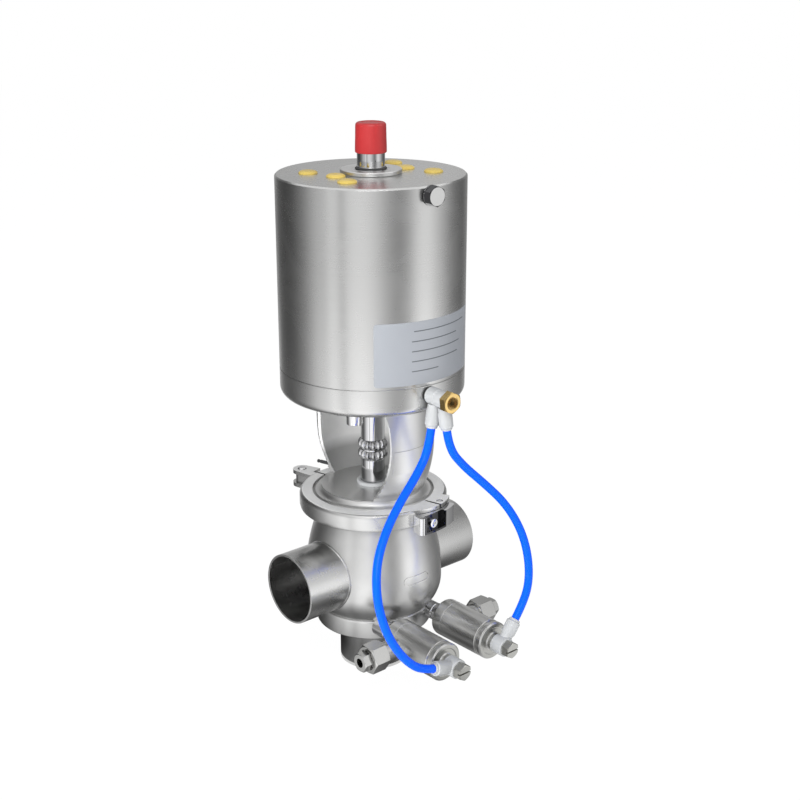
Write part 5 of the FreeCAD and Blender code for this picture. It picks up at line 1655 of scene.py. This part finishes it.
# %% The world
world = bpy.data.worlds.new("studio")
bpy.context.scene.world = world
world.use_nodes = True
tree = world.node_tree
white = tree.nodes["Background"]
white.inputs["Color"].default_value = (1.0, 1.0, 1.0, 1.0)
soft = tree.nodes.new("ShaderNodeBackground")
soft.inputs["Color"].default_value = (0.96, 0.97, 1.0, 1.0)
soft.inputs["Strength"].default_value = 0.55
chosen = tree.nodes.new("ShaderNodeMixShader")
rays = tree.nodes.new("ShaderNodeLightPath")
seen = math_node(tree, "MAXIMUM",
                 math_node(tree, "MAXIMUM", rays.outputs["Is Camera Ray"],
                           rays.outputs["Is Glossy Ray"]),
                 rays.outputs["Is Transmission Ray"])
link_chain(tree, (seen, chosen.inputs[0]), (soft.outputs[0], chosen.inputs[1]),
           (white.outputs[0], chosen.inputs[2]),
           (chosen.outputs[0], tree.nodes["World Output"].inputs["Surface"]))

print("world:", world.name)

# %% [markdown]
# The floor glows almost as brightly as the world, so it ends in white, but a small share of
# plain paper is left in it. That share takes the valve's soft shadow.

# %% The floor
floor_bm = bmesh.new()
bmesh.ops.create_circle(floor_bm, cap_ends=True, segments=96, radius=6.0)
floor = new_object(floor_bm, "floor")
floor_finish, tree, paper = start_material("floor_white")
floor.data.materials.append(floor_finish)
paper.inputs["Base Color"].default_value = (0.9, 0.9, 0.9, 1.0)
paper.inputs["Roughness"].default_value = 0.9
glow = tree.nodes.new("ShaderNodeEmission")
glow.inputs["Strength"].default_value = 1.03
floor_mix = tree.nodes.new("ShaderNodeMixShader")
rays = tree.nodes.new("ShaderNodeLightPath")
seen = math_node(tree, "MAXIMUM", rays.outputs["Is Camera Ray"], rays.outputs["Is Glossy Ray"])
lit_share = math_node(tree, "MULTIPLY", seen, 0.94)
link_chain(tree, (lit_share, floor_mix.inputs[0]), (paper.outputs[0], floor_mix.inputs[1]),
           (glow.outputs[0], floor_mix.inputs[2]),
           (floor_mix.outputs[0], tree.nodes["Material Output"].inputs["Surface"]))
print("floor:", len(floor.data.polygons), "face")

# %% [markdown]
# Three round area lamps light the matt pieces and draw the soft highlights. The third stands
# low and shines into the lantern's window, and no metal mirrors it.

# %% The lamps
lamp_aim = 0.25


def lamp(name, place, size, power):
    """A round area lamp that looks at the middle of the valve."""
    light = bpy.data.lights.new(name, "AREA")
    light.shape = "DISK"
    light.size = size
    light.energy = power
    thing = bpy.data.objects.new(name, light)
    bpy.context.scene.collection.objects.link(thing)
    thing.location = place
    thing.rotation_mode = "QUATERNION"
    back_line = Vector(place) - Vector((0.0, 0.0, lamp_aim))
    thing.rotation_quaternion = back_line.to_track_quat("Z", "Y")
    return thing


lamp("key_light", (-1.3, -1.5, 1.9), 1.2, 26.0)
lamp("fill_light", (1.6, -1.2, 1.4), 1.4, 12.0)
window_light = lamp("window_light", (-1.7, -0.5, 0.36), 0.7, 26.0)
window_light.visible_glossy = False
print("lamps ready")

# %% [markdown]
# Satin steel looks flat in an even room. A photographer therefore stands grey and white cards
# all round it. Here one ring does that: its shade changes with the bearing, and it is dark near
# the foot, where the real valve stood over its own shadow. It is a floor strip as well as a
# wall, because upright steel seen from above mirrors the floor. Only reflections see it.

# %% Stand the ring of cards
ring_shades = ((184.0, 0.84), (192.0, 0.84), (196.0, 0.4), (199.0, 0.4), (203.0, 0.84),
               (220.0, 0.88), (232.0, 0.76), (246.0, 0.44), (260.0, 0.24), (270.0, 0.4),
               (284.0, 0.9), (296.0, 0.92), (308.0, 0.66), (320.0, 0.44), (334.0, 0.2),
               (0.0, 0.1), (22.0, 0.28), (40.0, 0.52), (62.0, 0.42), (80.0, 0.36),
               (92.0, 0.12), (112.0, 0.06), (130.0, 0.08), (150.0, 0.24), (167.0, 0.58))
ring_finish, tree, unlit = start_material("studio_ring")
tree.nodes.remove(unlit)
where = tree.nodes.new("ShaderNodeTexCoord")
around = tree.nodes.new("ShaderNodeTexGradient")
around.gradient_type = "RADIAL"
shades = tree.nodes.new("ShaderNodeValToRGB")
stops = sorted((((bearing + 180.0) % 360.0) / 360.0, shade) for bearing, shade in ring_shades)
while len(shades.color_ramp.elements) < len(stops):
    shades.color_ramp.elements.new(0.5)
for stop, (place, shade) in zip(shades.color_ramp.elements, stops):
    stop.position = place
    stop.color = (shade, shade, shade, 1.0)
reach = tree.nodes.new("ShaderNodeVectorMath")
reach.operation = "LENGTH"
card_glow = tree.nodes.new("ShaderNodeEmission")
link_chain(tree, (where.outputs["Object"], around.inputs[0]),
           (where.outputs["Object"], reach.inputs[0]),
           (around.outputs["Fac"], shades.inputs["Fac"]),
           (shades.outputs["Color"], card_glow.inputs["Color"]),
           (math_node(tree, "MULTIPLY",
                      ranged(tree, reach.outputs["Value"], 0.22, 1.5, 0.09, 0.23),
                      ranged(tree, reach.outputs["Value"], 1.15, 0.74, 0.58, 0.66)),
            card_glow.inputs["Strength"]),
           (card_glow.outputs[0], tree.nodes["Material Output"].inputs["Surface"]))
ring = new_object(spun([(35.3, 3.0), (580.0, 3.0), (600.0, 900.0)], 96), "studio_ring")
ring.data.materials.append(ring_finish)
ring.visible_camera = False
ring.visible_diffuse = False
ring.visible_shadow = False
ring.visible_transmission = False
print("ring of cards ready")

# %% Set the view transform and count the pieces
bpy.context.scene.view_settings.view_transform = "Standard"
print("pieces made:", len(made))
